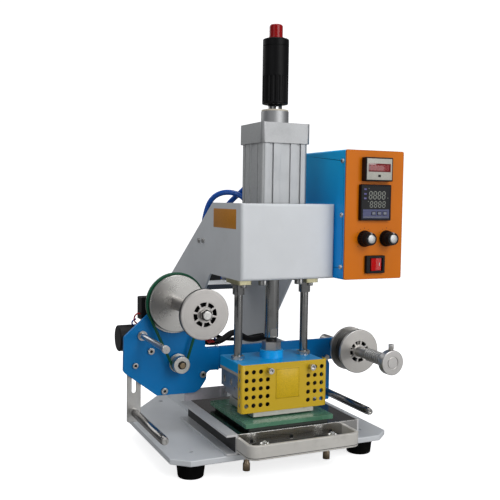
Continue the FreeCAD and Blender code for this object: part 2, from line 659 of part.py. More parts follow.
def take_up_shaft():
    shaft = rounded(cyl_y(*TAKE_UP, -67, 94, SPINDLE_RADIUS), 1.0, at(YMax=-67))
    nut = hex_y(*TAKE_UP, -64, -59.2, 14).fuse(cyl_y(*TAKE_UP, -59.2, -58, 7.2))
    return [shaft, nut.cut(cyl_y(*TAKE_UP, -70, -50, SPINDLE_RADIUS))]


def feed_pulley():
    pulley = rounded(cyl_y(*FEED, 47, 56, 12.4), 1.0, at(YMax=47))
    pulley = pulley.fuse(cyl_y(*FEED, 56, 64, FEED_PITCH + 1.6))
    pulley = pulley.fuse(cyl_y(*FEED, 64, 66.5, 13.6))
    pulley = pulley.cut(ring(cyl_y, *FEED, BELT_Y - 2.1, BELT_Y + 2.1, 30, FEED_PITCH))
    pulley = pulley.cut(belt_groove(FEED, FEED_PITCH))
    pulley = pulley.cut(cyl_y(*FEED, 40, 70, FEED_SHAFT_RADIUS))
    pulley = pulley.cut(cyl_y(*FEED, 46, 48.2, 6.2))
    return [pulley, cyl_y(*FEED, 44, 100, FEED_SHAFT_RADIUS)]


def drive_belt():
    """Round open belt: two arcs joined by their common tangents."""
    dx, dz = FEED[0] - TAKE_UP[0], FEED[1] - TAKE_UP[1]
    heading = math.atan2(dz, dx)
    spread = math.acos((DISC_PITCH - FEED_PITCH) / math.hypot(dx, dz))

    def point(centre, radius, angle):
        return Vector(centre[0] + radius * math.cos(angle), BELT_Y,
                      centre[1] + radius * math.sin(angle))

    disc_a = point(TAKE_UP, DISC_PITCH, heading + spread)
    disc_b = point(TAKE_UP, DISC_PITCH, heading - spread)
    feed_a = point(FEED, FEED_PITCH, heading + spread)
    feed_b = point(FEED, FEED_PITCH, heading - spread)
    disc_far = point(TAKE_UP, DISC_PITCH, heading + math.pi)
    feed_far = point(FEED, FEED_PITCH, heading)
    path = Part.Wire([Part.makeLine(feed_b, disc_b),
                      Part.Arc(disc_b, disc_far, disc_a).toShape(),
                      Part.makeLine(disc_a, feed_a),
                      Part.Arc(feed_a, feed_far, feed_b).toShape()])
    return sweep(path, feed_b, disc_b.sub(feed_b), BELT_RADIUS)


# ---------------------------------------------------------------- unwind spool
def unwind_shaft():
    """Shaft, round nut behind the cross bar and spacer sleeve in front of it."""
    shaft = cyl_y(*UNWIND, -86.5, 112, SPINDLE_RADIUS)
    nut = rounded(cyl_y(*UNWIND, BAR_REAR, 108, 9.0), 1.5, at(YMin=108))
    nut = nut.cut(cyl_y(*UNWIND, 80, 115, SPINDLE_RADIUS))
    return [shaft, nut, ring(cyl_y, *UNWIND, 33, BAR_FRONT, 8.5, SPINDLE_RADIUS)]


def unwind_spool():
    """Front disc with hub, rear disc and spoked core."""
    bore = SPINDLE_RADIUS + RUNNING
    core_y0, core_y1 = 4, 27
    front = rounded(cyl_y(*UNWIND, 0, core_y0, SPOOL_RADIUS), 1.0, at(YMax=0))
    front = slotted(front, UNWIND, -1, 5)
    front = front.fuse(cyl_y(*UNWIND, -22, 0, 8.0)).cut(cyl_y(*UNWIND, -30, 10, bore))
    rear = slotted(ring(cyl_y, *UNWIND, core_y1, 31, SPOOL_RADIUS, bore), UNWIND, 26, 32)
    core = ring(cyl_y, *UNWIND, core_y0, core_y1, 26.0, 19.0)
    core = core.fuse(cyl_y(*UNWIND, core_y0, core_y1, 10.0))
    for i in range(6):
        core = core.fuse(radial_bar(UNWIND, 9, 20, core_y0, core_y1, 2.5, 60 * i + 30))
    return [front, rear, core.cut(cyl_y(*UNWIND, 3, 28, bore))]


def friction_spring():
    pitch, length, coil_radius, wire_radius = 5.2, 46.8, 8.3, 1.1
    path = Part.Wire(Part.makeHelix(pitch, length, coil_radius).Edges)
    spring = sweep(path, Vector(coil_radius, 0, 0), Y, wire_radius, frenet=True)
    spring.rotate(Vector(0, 0, 0), X, 90)
    spring.translate(Vector(UNWIND[0], -24.8, UNWIND[1]))
    return spring


def end_collar():
    """Collar at the front end of the unwind shaft, with its knurled thumb screw."""
    x, z = UNWIND
    screw_y = -82.5
    collar = rounded(cyl_y(x, z, -88, -77, 18.0), 1.0, at(YMax=-88), at(YMin=-77))
    collar = collar.fuse(cyl_y(x, z, -77, -73.5, 11.0))
    collar = collar.cut(ring(cyl_y, x, z, -89, -87, 9.0, 8.0))
    collar = collar.cut(cyl_y(x, z, -86.5, -70, SPINDLE_RADIUS + 0.02))
    collar = collar.cut(cyl_z(x, screw_y, z, z + 20, 2.0))
    screw = cyl_z(x, screw_y, z + 6.2, z + 19, 1.95)
    return [collar, screw.fuse(knurled(x, screw_y, z + 19, z + 26, 3.8, 12, 0.35))]


# ---------------------------------------------------------------- foil rollers
def bracket(outline, y, slot_x, slot_z0, slot_z1):
    """Upright strip with a slot, rounded at its lower end."""
    half = 3.4                                      # half width of the slot
    z0, z1 = slot_z0 + half, slot_z1 - half
    strip = rounded(prism_xz(outline, y, y + 3), 2.0, line(Y, z=BRACKET_BOTTOM))
    strip = strip.cut(box(slot_x - half, slot_x + half, y - 1, y + 4, z0, z1))
    return drill(strip, cyl_y, [(slot_x, z0), (slot_x, z1)], y - 1, y + 4, half)


def axle(x, front, bracket_y):
    """Roller axle with a socket head in front and a collar at the bracket."""
    shape = cyl_y(x, ROLLER_Z, front, bracket_y, AXLE_RADIUS)
    shape = shape.fuse(cyl_y(x, ROLLER_Z, front - 3.0, front, 4.2))
    shape = shape.fuse(cyl_y(x, ROLLER_Z, bracket_y - 4, bracket_y, 5.5))
    return shape.cut(hex_y(x, ROLLER_Z, front - 3.2, front - 1.4, 3.4))


def roller(x, y0, y1):
    shape = cyl_y(x, ROLLER_Z, y0 + 5, y1, ROLLER_RADIUS)
    shape = shape.fuse(cone_y(x, ROLLER_Z, y0 + 2, y0 + 5, ROLLER_RADIUS - 1.6, ROLLER_RADIUS))
    shape = shape.fuse(cyl_y(x, ROLLER_Z, y0, y0 + 2, ROLLER_RADIUS - 0.6))
    return shape.cut(cyl_y(x, ROLLER_Z, y0 - 1, y1 + 1, AXLE_RADIUS + RUNNING))


def left_bracket():
    outline = [(-192, BRACKET_BOTTOM), (-172, BRACKET_BOTTOM), (-172, 156), (-192, 156)]
    return [bracket(outline, LEFT_BRACKET_Y, LEFT_ROLLER_X, 92, 140),
            axle(LEFT_ROLLER_X, -67, LEFT_BRACKET_Y)]


def left_roller():
    return roller(LEFT_ROLLER_X, -66.8, 68)


def right_bracket():
    outline = [(126, BRACKET_BOTTOM), (146, BRACKET_BOTTOM), (146, 109), (135, 129), (126, 129)]
    return [bracket(outline, RIGHT_BRACKET_Y, RIGHT_CLAMP[0], 97, 125),
            axle(RIGHT_ROLLER_X, -49, RIGHT_BRACKET_Y)]


def right_roller():
    return roller(RIGHT_ROLLER_X, -48.8, 74)


def foil_bar():
    """Flat bar under the spool plate."""
    front, rear = 75.2, 78.2
    bar = box(-104, -38, front, rear, 73, 90)
    bar = bar.fuse(box(-48, -38, 71, front, 75, 88)).cut(cyl_y(-43, 81.5, 69, 73, 2.0))
    return bar.fuse(box(-104, -92, front, rear, 88, 97))


# ---------------------------------------------------------------- cables
# centre lines (x, y, z), from left to right
THICK_CABLE = [
    (-106, 113.0, 172), (-105.0, 118.5, 171.8), (-100, 125.5, 170), (-88, 130, 164),
    (-72, 130.5, 156), (-52, 127.5, 149.5), (-33, 126.5, 148.5), (-18, 128, 154),
    (-6, 131, 159.5), (6, 135, 157.5), (18, 140, 150.5), (32, 147, 145), (46, 154, 143),
    (57, 158.8, 143), (64, 160.5, 143.3), (68.6, 160.8, 143.4)]
THIN_CABLE = [
    (-152, 98.8, 214), (-151.3, 103, 213.8), (-147, 112, 212), (-137, 120.5, 208),
    (-120, 127, 199), (-98, 130.5, 187), (-76, 130, 175), (-60, 131.5, 167),
    (-36, 137, 158), (-18, 142, 150.5), (0, 148, 146.5), (20, 155.5, 144.5),
    (40, 164, 144.5), (56, 170, 145), (64, 171.4, 145.3), (68.6, 171.6, 145.3)]


def cable_harness():
    return [tube(THICK_CABLE, 5.0), tube(THIN_CABLE, 3.0)]


# ---------------------------------------------------------------- control box
# bezels on the panel (x0, x1, z0, z1)
COUNTER = (97.5, 142.4, 400.5, 433.5)
CONTROLLER = (93.4, 143.4, 346.0, 396.0)
SWITCH = (105.4, 136.4, 272.0, 297.0)
KNOB_X, KNOB_Z = (104.0, 140.3), 320.7
KEY_X, KEY_Z = (114.4, 123.7, 133.0), 356.0
ROCKER_X = 121.9


def inset_box(bezel, inset, y0, y1):
    x0, x1, z0, z1 = bezel
    return box(x0 + inset, x1 - inset, y0, y1, z0 + inset, z1 - inset)


def control_box():
    wall = 1.5
    case = box(BOX_LEFT, BOX_RIGHT, BOX_FRONT, BOX_REAR, BOX_BOTTOM, BOX_TOP)
    case = rounded(case, 2.5, line(Y), line(Z, y=BOX_REAR))
    case = case.cut(box(BOX_LEFT + wall, BOX_RIGHT - wall, BOX_FRONT - 1, BOX_REAR - wall,
                        BOX_BOTTOM + wall, BOX_TOP - wall))
    case = drill(case, cyl_x, BOX_SCREWS, BOX_LEFT - 1, BOX_LEFT + 3, 1.8)
    return drill(case, cyl_x, BOX_SCREWS, BOX_RIGHT - 3, BOX_RIGHT + 1, 1.8)


def control_panel():
    """Front panel with a flange inside each side wall of the box."""
    panel = box(BOX_LEFT, BOX_RIGHT, PANEL_FRONT, BOX_FRONT, BOX_BOTTOM, BOX_TOP)
    panel = rounded(panel, 2.5, line(Y))
    for x in (BOX_LEFT + 1.5, BOX_RIGHT - 3.0):
        panel = panel.fuse(box(x, x + 1.5, BOX_FRONT, -62, BOX_BOTTOM + 4, BOX_TOP - 4))
    for bezel in (COUNTER, CONTROLLER, SWITCH):
        panel = panel.cut(inset_box(bezel, 2, -80, -74))
    panel = drill(panel, cyl_y, [(x, KNOB_Z) for x in KNOB_X], -80, -74, 4.1)
    panel = drill(panel, cyl_x, BOX_SCREWS, BOX_LEFT - 1, BOX_LEFT + 4, 1.8)
    return drill(panel, cyl_x, BOX_SCREWS, BOX_RIGHT - 4, BOX_RIGHT + 1, 1.8)


def panel_unit(bezel, proud, depth):
    """Bezel standing proud of the panel, with a smaller body behind it."""
    front = PANEL_FRONT - proud
    unit = rounded(inset_box(bezel, 0, front, PANEL_FRONT), 1.2, line(Y), at(YMax=front))
    return unit.fuse(inset_box(bezel, 2.1, PANEL_FRONT, PANEL_FRONT + depth))


def counter_unit():
    unit = panel_unit(COUNTER, 10.0, 55)
    return unit.cut(inset_box(COUNTER, 1.6, PANEL_FRONT - 11, PANEL_FRONT - 9.4))


def key_block(x, half_x, half_z, front, rear):
    return box(x - half_x, x + half_x, PANEL_FRONT - front, PANEL_FRONT - rear,
               KEY_Z - half_z, KEY_Z + half_z)


def temperature_controller():
    unit = panel_unit(CONTROLLER, 6.0, 80)
    unit = unit.cut(inset_box(CONTROLLER, 2.2, PANEL_FRONT - 7, PANEL_FRONT - 5.5))
    unit = unit.cut(box(107.9, 139.5, PANEL_FRONT - 4.6, PANEL_FRONT - 1.6, 352.0, 360.0))
    for x in KEY_X:
        unit = unit.cut(key_block(x, 3.4, 2.4, 6, 4))
    return unit


def controller_keys():
    """Three keys on a common strip."""
    keys = box(108.4, 139.0, PANEL_FRONT - 4.3, PANEL_FRONT - 3.3, 352.5, 359.5)
    for x in KEY_X:
        keys = keys.fuse(rounded(key_block(x, 3.2, 2.2, 6.2, 4.2), 0.6, line(Y)))
    return keys


def switch_bezel():
    bezel = panel_unit(SWITCH, 5.0, 22)
    bezel = bezel.cut(box(111.4, 132.4, -84, -66, 275.4, 293.6))
    return bezel.cut(cyl_z(ROCKER_X, PANEL_FRONT, 274.4, 294.6, 1.25))


def power_rocker():
    # section as (x from the pivot, y)
    section = [(-9.0, -83.2), (0, -80.6), (9.0, -80.8), (9.0, -76), (3, -71.5), (-3, -71.5),
               (-9.0, -76)]
    rocker = prism_xy([(ROCKER_X + x, y) for x, y in section], 275.8, 293.2)
    rocker = rounded(rocker, 0.7, lambda edge: along(edge, Z) and edge.Vertexes[0].Point.y < -80)
    return rocker.fuse(cyl_z(ROCKER_X, PANEL_FRONT, 274.6, 294.4, 1.2))


def dial(x):
    """Fluted knob with a flared skirt, a shaft and a pointer mark at the top."""
    knob = cyl_y(x, KNOB_Z, -95, -77.8, 8.6)
    knob = knob.fuse(cone_y(x, KNOB_Z, -88, -77.8, 9.6, 11.6))
    flutes = 20
    for i in range(flutes):
        angle = 2 * math.pi * i / flutes
        knob = knob.cut(cyl_y(x + 10.6 * math.cos(angle), KNOB_Z + 10.6 * math.sin(angle),
                              -94, -79.5, 1.1))
    knob = knob.fuse(cyl_y(x, KNOB_Z, -95.6, -94.5, 7.2))
    knob = knob.fuse(cyl_y(x, KNOB_Z, -78, -70, 3.0))
    return knob.fuse(box(x - 0.7, x + 0.7, -95.2, -94.0, KNOB_Z + 6.8, KNOB_Z + 8.4))


def temperature_knob():
    return dial(KNOB_X[0])


def timer_knob():
    return dial(KNOB_X[1])


def potentiometers():
    return [cyl_y(x, KNOB_Z, -75, -62, 8.0)
            .fuse(cyl_y(x, KNOB_Z, -77, -75, 4.0))
            .cut(cyl_y(x, KNOB_Z, -80, -66, 3.1)) for x in KNOB_X]


# ---------------------------------------------------------------- work table and tray
TABLE_FRONT, TABLE_REAR = -67, 118
TRAY_FLOOR = 40.5


def table_rails():
    """Left channel and right angle on the base plate."""
    y0, y1 = -66.0, 120.0
    left = box(-83, -80, y0, y1, BASE_TOP, RAIL_TOP)
    left = left.fuse(box(-96, -83, y0, y1, BASE_TOP, BASE_TOP + 3))
    left = left.fuse(box(-96, -83, y0, y1, RAIL_TOP - 3, RAIL_TOP))
    right = box(106, 109, y0, y1, BASE_TOP, RAIL_TOP)
    return [left, right.fuse(box(93, 106, y0, y1, BASE_TOP, BASE_TOP + 3))]


def slide_table():
    """Top sheet with a front apron and two side walls."""
    under, apron_y = RAIL_TOP - 3, -64.5
    table = box(TABLE_LEFT, TABLE_RIGHT, TABLE_FRONT, TABLE_REAR, under, RAIL_TOP)
    table = table.fuse(box(TABLE_LEFT, TABLE_RIGHT, TABLE_FRONT, apron_y, 44, under))
    for x, z in ((TABLE_LEFT, 33.2), (TABLE_RIGHT - 3, 36.2)):
        table = table.fuse(box(x, x + 3, apron_y, TABLE_REAR, z, under))
    return drill(table, cyl_y, [(-60, 49), (0, 49), (62, 49)], -70, -60, 2.6)


def work_board():
    """Board and the spacer under it."""
    board_z = 66
    board = rounded(box(-67.5, 67.5, -64, 66, board_z, 71.9), 1.0, line(Z))
    return [board, box(-61, 61, -60, 62, RAIL_TOP, board_z)]


def front_tray():
    front, bottom, rim = -110, 38, 57
    wall = 5.5
    tray = box(-82, 86, front, TABLE_FRONT, bottom, rim)
    tray = rounded(tray, 13.0, line(Z, y=front))
    inside = box(-82 + wall, 86 - wall, front + wall, -60, TRAY_FLOOR, 60)
    tray = tray.cut(rounded(inside, 8.0, line(Z, y=front + wall)))
    on_rim = at(ZMin=rim, ZMax=rim)
    # all rim edges but those on the rear face
    tray = rounded(tray, 1.2, lambda edge: on_rim(edge) and edge.BoundBox.YMin < -68)
    return drill(tray, cyl_z, TRAY_STUDS, bottom - 1, 42, 3.05)


def tray_nuts():
    """Knurled nuts, each followed by its stud."""
    shapes = []
    for x, y in TRAY_STUDS:
        nut = knurled(x, y, 43, 52, 6.2, 14, 0.7).fuse(cyl_z(x, y, TRAY_FLOOR, 43, 7.4))
        shapes.append(nut.cut(cyl_z(x, y, 40, 55, 3.0)))
        shapes.append(cyl_z(x, y, 38, 54.5, 2.98))
    return shapes


PIECES = (
    base_plate, rubber_feet, level_screws, frame_shell, frame_back_plate, head_plate,
    guide_bushings, cylinder_bottom_cap, cylinder_barrel, cylinder_top_cap, piston_rod,
    platen_plate, guide_rods, insulation_board, heater_block, heater_cartridges, die_holder,
    die_plate, heat_guard, ram_fasteners, red_end_cap, stroke_knob, solenoid_valve,
    air_hoses, spool_plate, cross_bar, steel_screws, gear_motor, guide_pin, spool_bearing,
    drive_disc, front_disc, take_up_shaft, feed_pulley, drive_belt, unwind_shaft,
    unwind_spool, friction_spring, end_collar, left_bracket, left_roller, right_bracket,
    right_roller, foil_bar, cable_harness, control_box, control_panel, counter_unit,
    temperature_controller, controller_keys, switch_bezel, power_rocker, temperature_knob,
    timer_knob, potentiometers, table_rails, slide_table, work_board, front_tray, tray_nuts)

os.makedirs("parts", exist_ok=True)
for piece in PIECES:
    export(piece.__name__, piece())
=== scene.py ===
"""Looks for a pneumatic hot-foil press: frame, heated ram, foil reels, slide table, control box.

The machine stands on z = 0 with its front towards -Y, +X to the right and +Z up.
Part sizes and places are in millimetres unless a line says otherwise; MM turns them into metres.
Shader distances, the stage, the lights and the camera are in metres.
"""
import bpy
import bmesh
import math
from collections import namedtuple
from mathutils import Vector, Matrix


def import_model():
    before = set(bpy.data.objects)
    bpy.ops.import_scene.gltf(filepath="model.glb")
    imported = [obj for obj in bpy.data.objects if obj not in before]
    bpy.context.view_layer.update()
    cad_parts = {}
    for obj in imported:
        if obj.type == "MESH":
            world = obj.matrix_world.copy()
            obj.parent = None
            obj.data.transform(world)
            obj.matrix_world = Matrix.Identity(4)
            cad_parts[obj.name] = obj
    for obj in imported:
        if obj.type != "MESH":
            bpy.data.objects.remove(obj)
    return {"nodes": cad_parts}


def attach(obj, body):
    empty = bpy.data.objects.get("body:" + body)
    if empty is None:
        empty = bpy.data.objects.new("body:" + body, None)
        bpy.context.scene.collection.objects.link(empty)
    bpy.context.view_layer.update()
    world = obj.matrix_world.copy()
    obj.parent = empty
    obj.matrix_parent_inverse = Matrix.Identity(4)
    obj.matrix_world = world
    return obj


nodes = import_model()["nodes"]
MM = 0.001


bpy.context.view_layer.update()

# Axis centres of the reels and the feed pulley
TAKE_UP = (-125.0, 0.0, 222.5)
UNWIND = (150.0, 0.0, 143.5)
FEED = (-119.0, 0.0, 133.5)

# Control box: sides, screws, controller keys, knobs
BOX_LEFT, BOX_RIGHT = 72.0, 167.0
BOX_SCREW_Y = -69.0
BOX_SCREW_Z = (427.6, 353.3, 281.0)
KEY_X = (114.4, 123.7, 133.0)
KEY_Z = 356.0
KEY_WINDOW_HALF = (3.5, 2.6)  # x, z
KEY_CAP_HALF = (2.6, 1.8)  # x, z
KNOB_X = {"temperature": 104.0, "timer": 140.3}
KNOB_Z = 320.7

# Blank label on the heat guard
LABEL_X = (-15.0, 22.6)
LABEL_Z = (97.2, 139.8)


# ------------------------------------------------------------------ shader graphs
class Graph:
    """Short calls for building a node tree."""

    def __init__(self, tree):
        self.tree = tree

    def add(self, kind, **settings):
        node = self.tree.nodes.new("ShaderNode" + kind)
        for key, value in settings.items():
            setattr(node, key, value)
        return node

    def feed(self, socket, value):
        """Link a socket, or set a number, a vector or an opaque colour."""
        if isinstance(value, bpy.types.NodeSocket):
            self.tree.links.new(value, socket)
        elif isinstance(value, tuple) and socket.type == "RGBA":
            socket.default_value = (*value, 1)
        else:
            socket.default_value = value

    def mix(self, factor, a, b):
        """Colour a where factor is 0, b where it is 1."""
        node = self.add("Mix", data_type="RGBA")
        for i, value in ((0, factor), (6, a), (7, b)):
            self.feed(node.inputs[i], value)
        return node.outputs[2]


class Surface(Graph):
    """A new material: one Principled shader fed from object coordinates."""

    def __init__(self, name):
        self.material = bpy.data.materials.new(name)
        self.material.use_nodes = True
        super().__init__(self.material.node_tree)
        self.tree.nodes.clear()
        output = self.add("OutputMaterial")
        self.shader = self.add("BsdfPrincipled")
        self.feed(output.inputs[0], self.shader.outputs[0])
        self.position = self.add("TexCoord").outputs["Object"]

    def math(self, operation, *values, clamp=False):
        node = self.add("Math", operation=operation, use_clamp=clamp)
        for i, value in enumerate(values):
            self.feed(node.inputs[i], value)
        return node.outputs[0]

    def scaled(self, value, factor):
        """Product held between 0 and 1."""
        return self.math("MULTIPLY", value, factor, clamp=True)

    def vector(self, operation, *values):
        node = self.add("VectorMath", operation=operation)
        for i, value in enumerate(values):
            self.feed(node.inputs[i], value)
        return node.outputs["Value" if operation in ("LENGTH", "DOT_PRODUCT") else "Vector"]

    def split(self, vector):
        node = self.add("SeparateXYZ")
        self.feed(node.inputs[0], vector)
        return node.outputs

    def noise(self, scale, detail, rough, stretch=None, at=None):
        at = at or self.position
        if stretch:
            at = self.vector("MULTIPLY", at, stretch)
        node = self.add("TexNoise")
        inputs = {"Scale": scale, "Detail": detail, "Roughness": rough, "Vector": at}
        for key, value in inputs.items():
            self.feed(node.inputs[key], value)
        return node.outputs["Fac"]

    def remap(self, value, low, high, to_low=0.0, to_high=1.0):
        node = self.add("MapRange")
        inputs = {"From Min": low, "From Max": high, "To Min": to_low, "To Max": to_high,
                  "Value": value}
        for key, item in inputs.items():
            self.feed(node.inputs[key], item)
        return node.outputs["Result"]

    def edge(self, radius):
        """Mask that is 1 on sharp edges and 0 on faces, and the rounded normal."""
        bevel = self.add("Bevel", samples=4)
        bevel.inputs["Radius"].default_value = radius
        true_normal = self.add("NewGeometry").outputs["Normal"]
        likeness = self.vector("DOT_PRODUCT", bevel.outputs[0], true_normal)
        return self.remap(self.math("SUBTRACT", 1.0, likeness), 0.02, 0.25), bevel.outputs[0]

    def bump(self, height, strength, distance, normal):
        node = self.add("Bump")
        inputs = {"Strength": strength, "Distance": distance, "Height": height, "Normal": normal}
        for key, value in inputs.items():
            self.feed(node.inputs[key], value)
        self.set("Normal", node.outputs[0])

    def set(self, key, value):
        self.feed(self.shader.inputs[key], value)

    def finish(self, colour, metallic, rough, zones=()):
        """Feed the shader, giving each Zone its own look."""
        if zones:
            along = self.split(self.position)
        for zone in zones:
            place = along["XYZ".index(zone.axis)]
            inside = self.math("MULTIPLY", self.math("GREATER_THAN", place, zone.low * MM),
                               self.math("LESS_THAN", place, zone.high * MM))
            tint = self.mix(self.noise(300, 3, 0.6), shade(zone.colour, 0.85),
                            shade(zone.colour, 1.12))
            colour = self.mix(inside, colour, tint)
            metallic = self.override(metallic, inside, zone.metallic)
            rough = self.override(rough, inside, zone.rough)
        self.set("Base Color", colour)
        self.set("Metallic", metallic)
        self.set("Roughness", rough)

    def override(self, base, mask, value):
        kept = self.math("MULTIPLY", base, self.math("SUBTRACT", 1.0, mask))
        return self.math("ADD", kept, self.math("MULTIPLY", mask, value))


# A stretch of a part, low to high along an axis, with its own look
Zone = namedtuple("Zone", "axis low high colour metallic rough")


def shade(colour, factor):
    return tuple(max(0.0, min(1.0, c * factor)) for c in colour)


def grey(level):
    return (level, level, level)


def paint(name, colour, rough, dirt, wear=0.0, wear_colour=None, rim=None, coat=0.15,
          edge_radius=0.0007, dust=(0.5, 0.47, 0.42), zones=(), specular=0.38, painted_top_light=None):
    """Sprayed enamel: orange peel, mottling, grime, and either worn edges or a flat rim colour.

    The top-light argument is (low z, high z, colour at the top): painted light, the colour
    brightening towards the top.
    """
    s = Surface(name)
    broad = s.noise(9, 4, 0.6)
    medium = s.noise(60, 4, 0.6)
    peel = s.noise(650, 2, 0.5)
    c = s.mix(s.remap(broad, 0.35, 0.7), shade(colour, 0.95), shade(colour, 1.04))
    c = s.mix(s.scaled(s.remap(medium, 0.58, 0.78), dirt), c, dust)
    edge, normal = s.edge(edge_radius)
    if wear:
        chips = s.remap(s.noise(220, 4, 0.7), 0.5 - wear * 0.25, 0.72)
        c = s.mix(s.scaled(edge, chips), c, wear_colour)
    else:
        c = s.mix(s.scaled(edge, 0.85), c, rim)
    # Painted light: the colour brightens towards the top between low and high z
    if painted_top_light:
        low, high, lit_top_colour = painted_top_light
        height = s.math("SUBTRACT", s.split(s.position)[2], low * MM)
        c = s.mix(s.scaled(height, 1.0 / ((high - low) * MM)), c, lit_top_colour)
    s.finish(c, 0.0, s.math("ADD", rough - 0.04, s.math("MULTIPLY", medium, 0.12)), zones)
    s.set("Specular IOR Level", specular)
    s.set("Coat Weight", coat * 0.6)
    s.set("Coat Roughness", 0.12)
    s.bump(peel, 0.035, 0.0006, normal)
    return s.material


def metal(name, colour, rough, depth, stain, brush=None, pits=0.0, stain_colour=None, zones=()):
    """Bare metal. brush stretches the grain into marks, depth is how strongly the grain shows."""
    s = Surface(name)
    grain = s.noise(900 if brush else 500, 3, 0.6, stretch=brush or (1, 1, 1))
    blots = s.noise(38, 5, 0.65)
    c = s.mix(s.remap(grain, 0.3, 0.7), shade(colour, 1 - depth * 0.5),
              shade(colour, 1 + depth * 0.2))
    c = s.mix(s.scaled(s.remap(blots, 0.5, 0.75), stain), c, stain_colour or shade(colour, 0.45))
    edge, normal = s.edge(0.0004)
    # Edges lightened: a painted highlight
    c = s.mix(s.scaled(edge, 0.35), c, shade(colour, 1.25))
    uneven = s.math("ADD", s.math("MULTIPLY", grain, depth * 0.3),
                    s.math("MULTIPLY", blots, 0.14))
    s.finish(c, 1.0, s.math("ADD", rough - 0.05, uneven), zones)
    height = grain
    if pits:
        holes = s.remap(s.noise(1500, 2, 0.5), 0.62, 0.72)
        height = s.math("ADD", grain, s.math("MULTIPLY", holes, -pits))
    s.bump(height, 0.12 if brush else 0.06, 0.0003, normal)
    return s.material


def turned(name, colour, centre, rough, pitch=2600.0, stain=0.12, depth=1.0, zones=()):
    """Lathe-turned metal: fine rings round a Y axis through centre. pitch is the ring noise scale."""
    s = Surface(name)
    offset = s.vector("SUBTRACT", s.position, tuple(c * MM for c in centre))
    radius = s.vector("LENGTH", s.vector("MULTIPLY", offset, (1, 0, 1)))
    section = s.add("CombineXYZ")
    s.feed(section.inputs[0], radius)
    s.feed(section.inputs[1], s.math("MULTIPLY", s.split(offset)[1], 1.0))
    rings = s.noise(pitch, 2, 0.6, at=section.outputs[0])
    bands = s.noise(pitch * 0.12, 2, 0.5, at=section.outputs[0])
    blots = s.noise(55, 4, 0.6)
    c = s.mix(s.remap(rings, 0.3, 0.7), shade(colour, 1 - 0.14 * depth),
              shade(colour, 1 + 0.06 * depth))
    c = s.mix(s.scaled(s.remap(bands, 0.45, 0.7), 0.16 * depth), c, shade(colour, 0.8))
    c = s.mix(s.scaled(s.remap(blots, 0.55, 0.75), stain), c, shade(colour, 0.5))
    edge, normal = s.edge(0.0005)
    # Edges lightened: a painted highlight
    c = s.mix(s.scaled(edge, 0.4), c, shade(colour, 1.25))
    uneven = s.math("ADD", s.math("MULTIPLY", rings, 0.12 * depth),
                    s.math("MULTIPLY", blots, 0.1))
    s.finish(c, 1.0, s.math("ADD", rough - 0.06, uneven), zones)
    s.bump(rings, 0.09 * depth, 0.00025, normal)
    return s.material


def plastic(name, colour, rough, grain, relief, coat=0.0, dust=0.06, specular=0.25):
    """Moulded skin. grain is the texture's noise scale, relief the strength of its bump."""
    s = Surface(name)
    texture = s.noise(grain, 2, 0.5)
    blots = s.noise(40, 4, 0.6)
    c = s.mix(s.remap(texture, 0.3, 0.7), shade(colour, 0.9), shade(colour, 1.12))
    c = s.mix(s.scaled(s.remap(blots, 0.5, 0.8), dust), c, (0.35, 0.34, 0.32))
    edge, normal = s.edge(0.0004)
    # Edges lightened: a painted highlight
    c = s.mix(s.scaled(edge, 0.25), c, tuple(min(1, x * 1.3 + 0.02) for x in colour))
    s.finish(c, 0.0, s.math("ADD", rough - 0.04, s.math("MULTIPLY", blots, 0.12)))
    s.set("Coat Weight", coat)
    s.set("Specular IOR Level", specular)
    s.bump(texture, 0.15 * relief, 0.0003, normal)
    return s.material


def glow(name, colour, strength, base):
    """Display element with a faint emission; on the unlit parts this emission is painted light."""
    s = Surface(name)
    speckle = s.noise(2500, 2, 0.5)
    s.set("Base Color", s.mix(speckle, base, shade(base, 0.7)))
    s.set("Roughness", 0.25)
    s.set("Emission Color", s.mix(s.remap(speckle, 0.3, 0.7), shade(colour, 0.9), colour))
    s.set("Emission Strength", strength)
    return s.material


def glass_fibre():
    """Glass-fibre laminate: fine crossed weave under a green skin."""
    s = Surface("glass_fibre_board")
    along = s.split(s.position)
    waves = [s.math("SINE", s.math("MULTIPLY", along[i], 5200.0)) for i in (0, 1)]
    weave = s.math("MULTIPLY", *waves)
    c = s.mix(s.remap(s.noise(24, 4, 0.6), 0.3, 0.75), (0.045, 0.155, 0.085), (0.11, 0.27, 0.17))
    c = s.mix(s.remap(weave, -1, 1, 0, 0.22), c, (0.16, 0.34, 0.24))
    edge, normal = s.edge(0.0005)
    c = s.mix(s.scaled(edge, 0.5), c, (0.30, 0.40, 0.30))
    rough = s.math("ADD", 0.16, s.math("MULTIPLY", s.noise(60, 4, 0.6), 0.22))
    s.finish(c, 0.0, rough, [Zone("Z", 55, 65.95, (0.020, 0.030, 0.022), 0.0, 0.45)])
    s.bump(weave, 0.05, 0.0002, normal)
    return s.material


# ------------------------------------------------------------------ materials
# Painted shade: dark brown for the faces seen through the heat guard's holes
GUARD_HOLE_SHADE = (0.030, 0.022, 0.016)
NEAR_BLACK = (0.012, 0.012, 0.013)
GROUND_STEEL = (0.34, 0.34, 0.335)
SMOKED = (0.05, 0.048, 0.045)

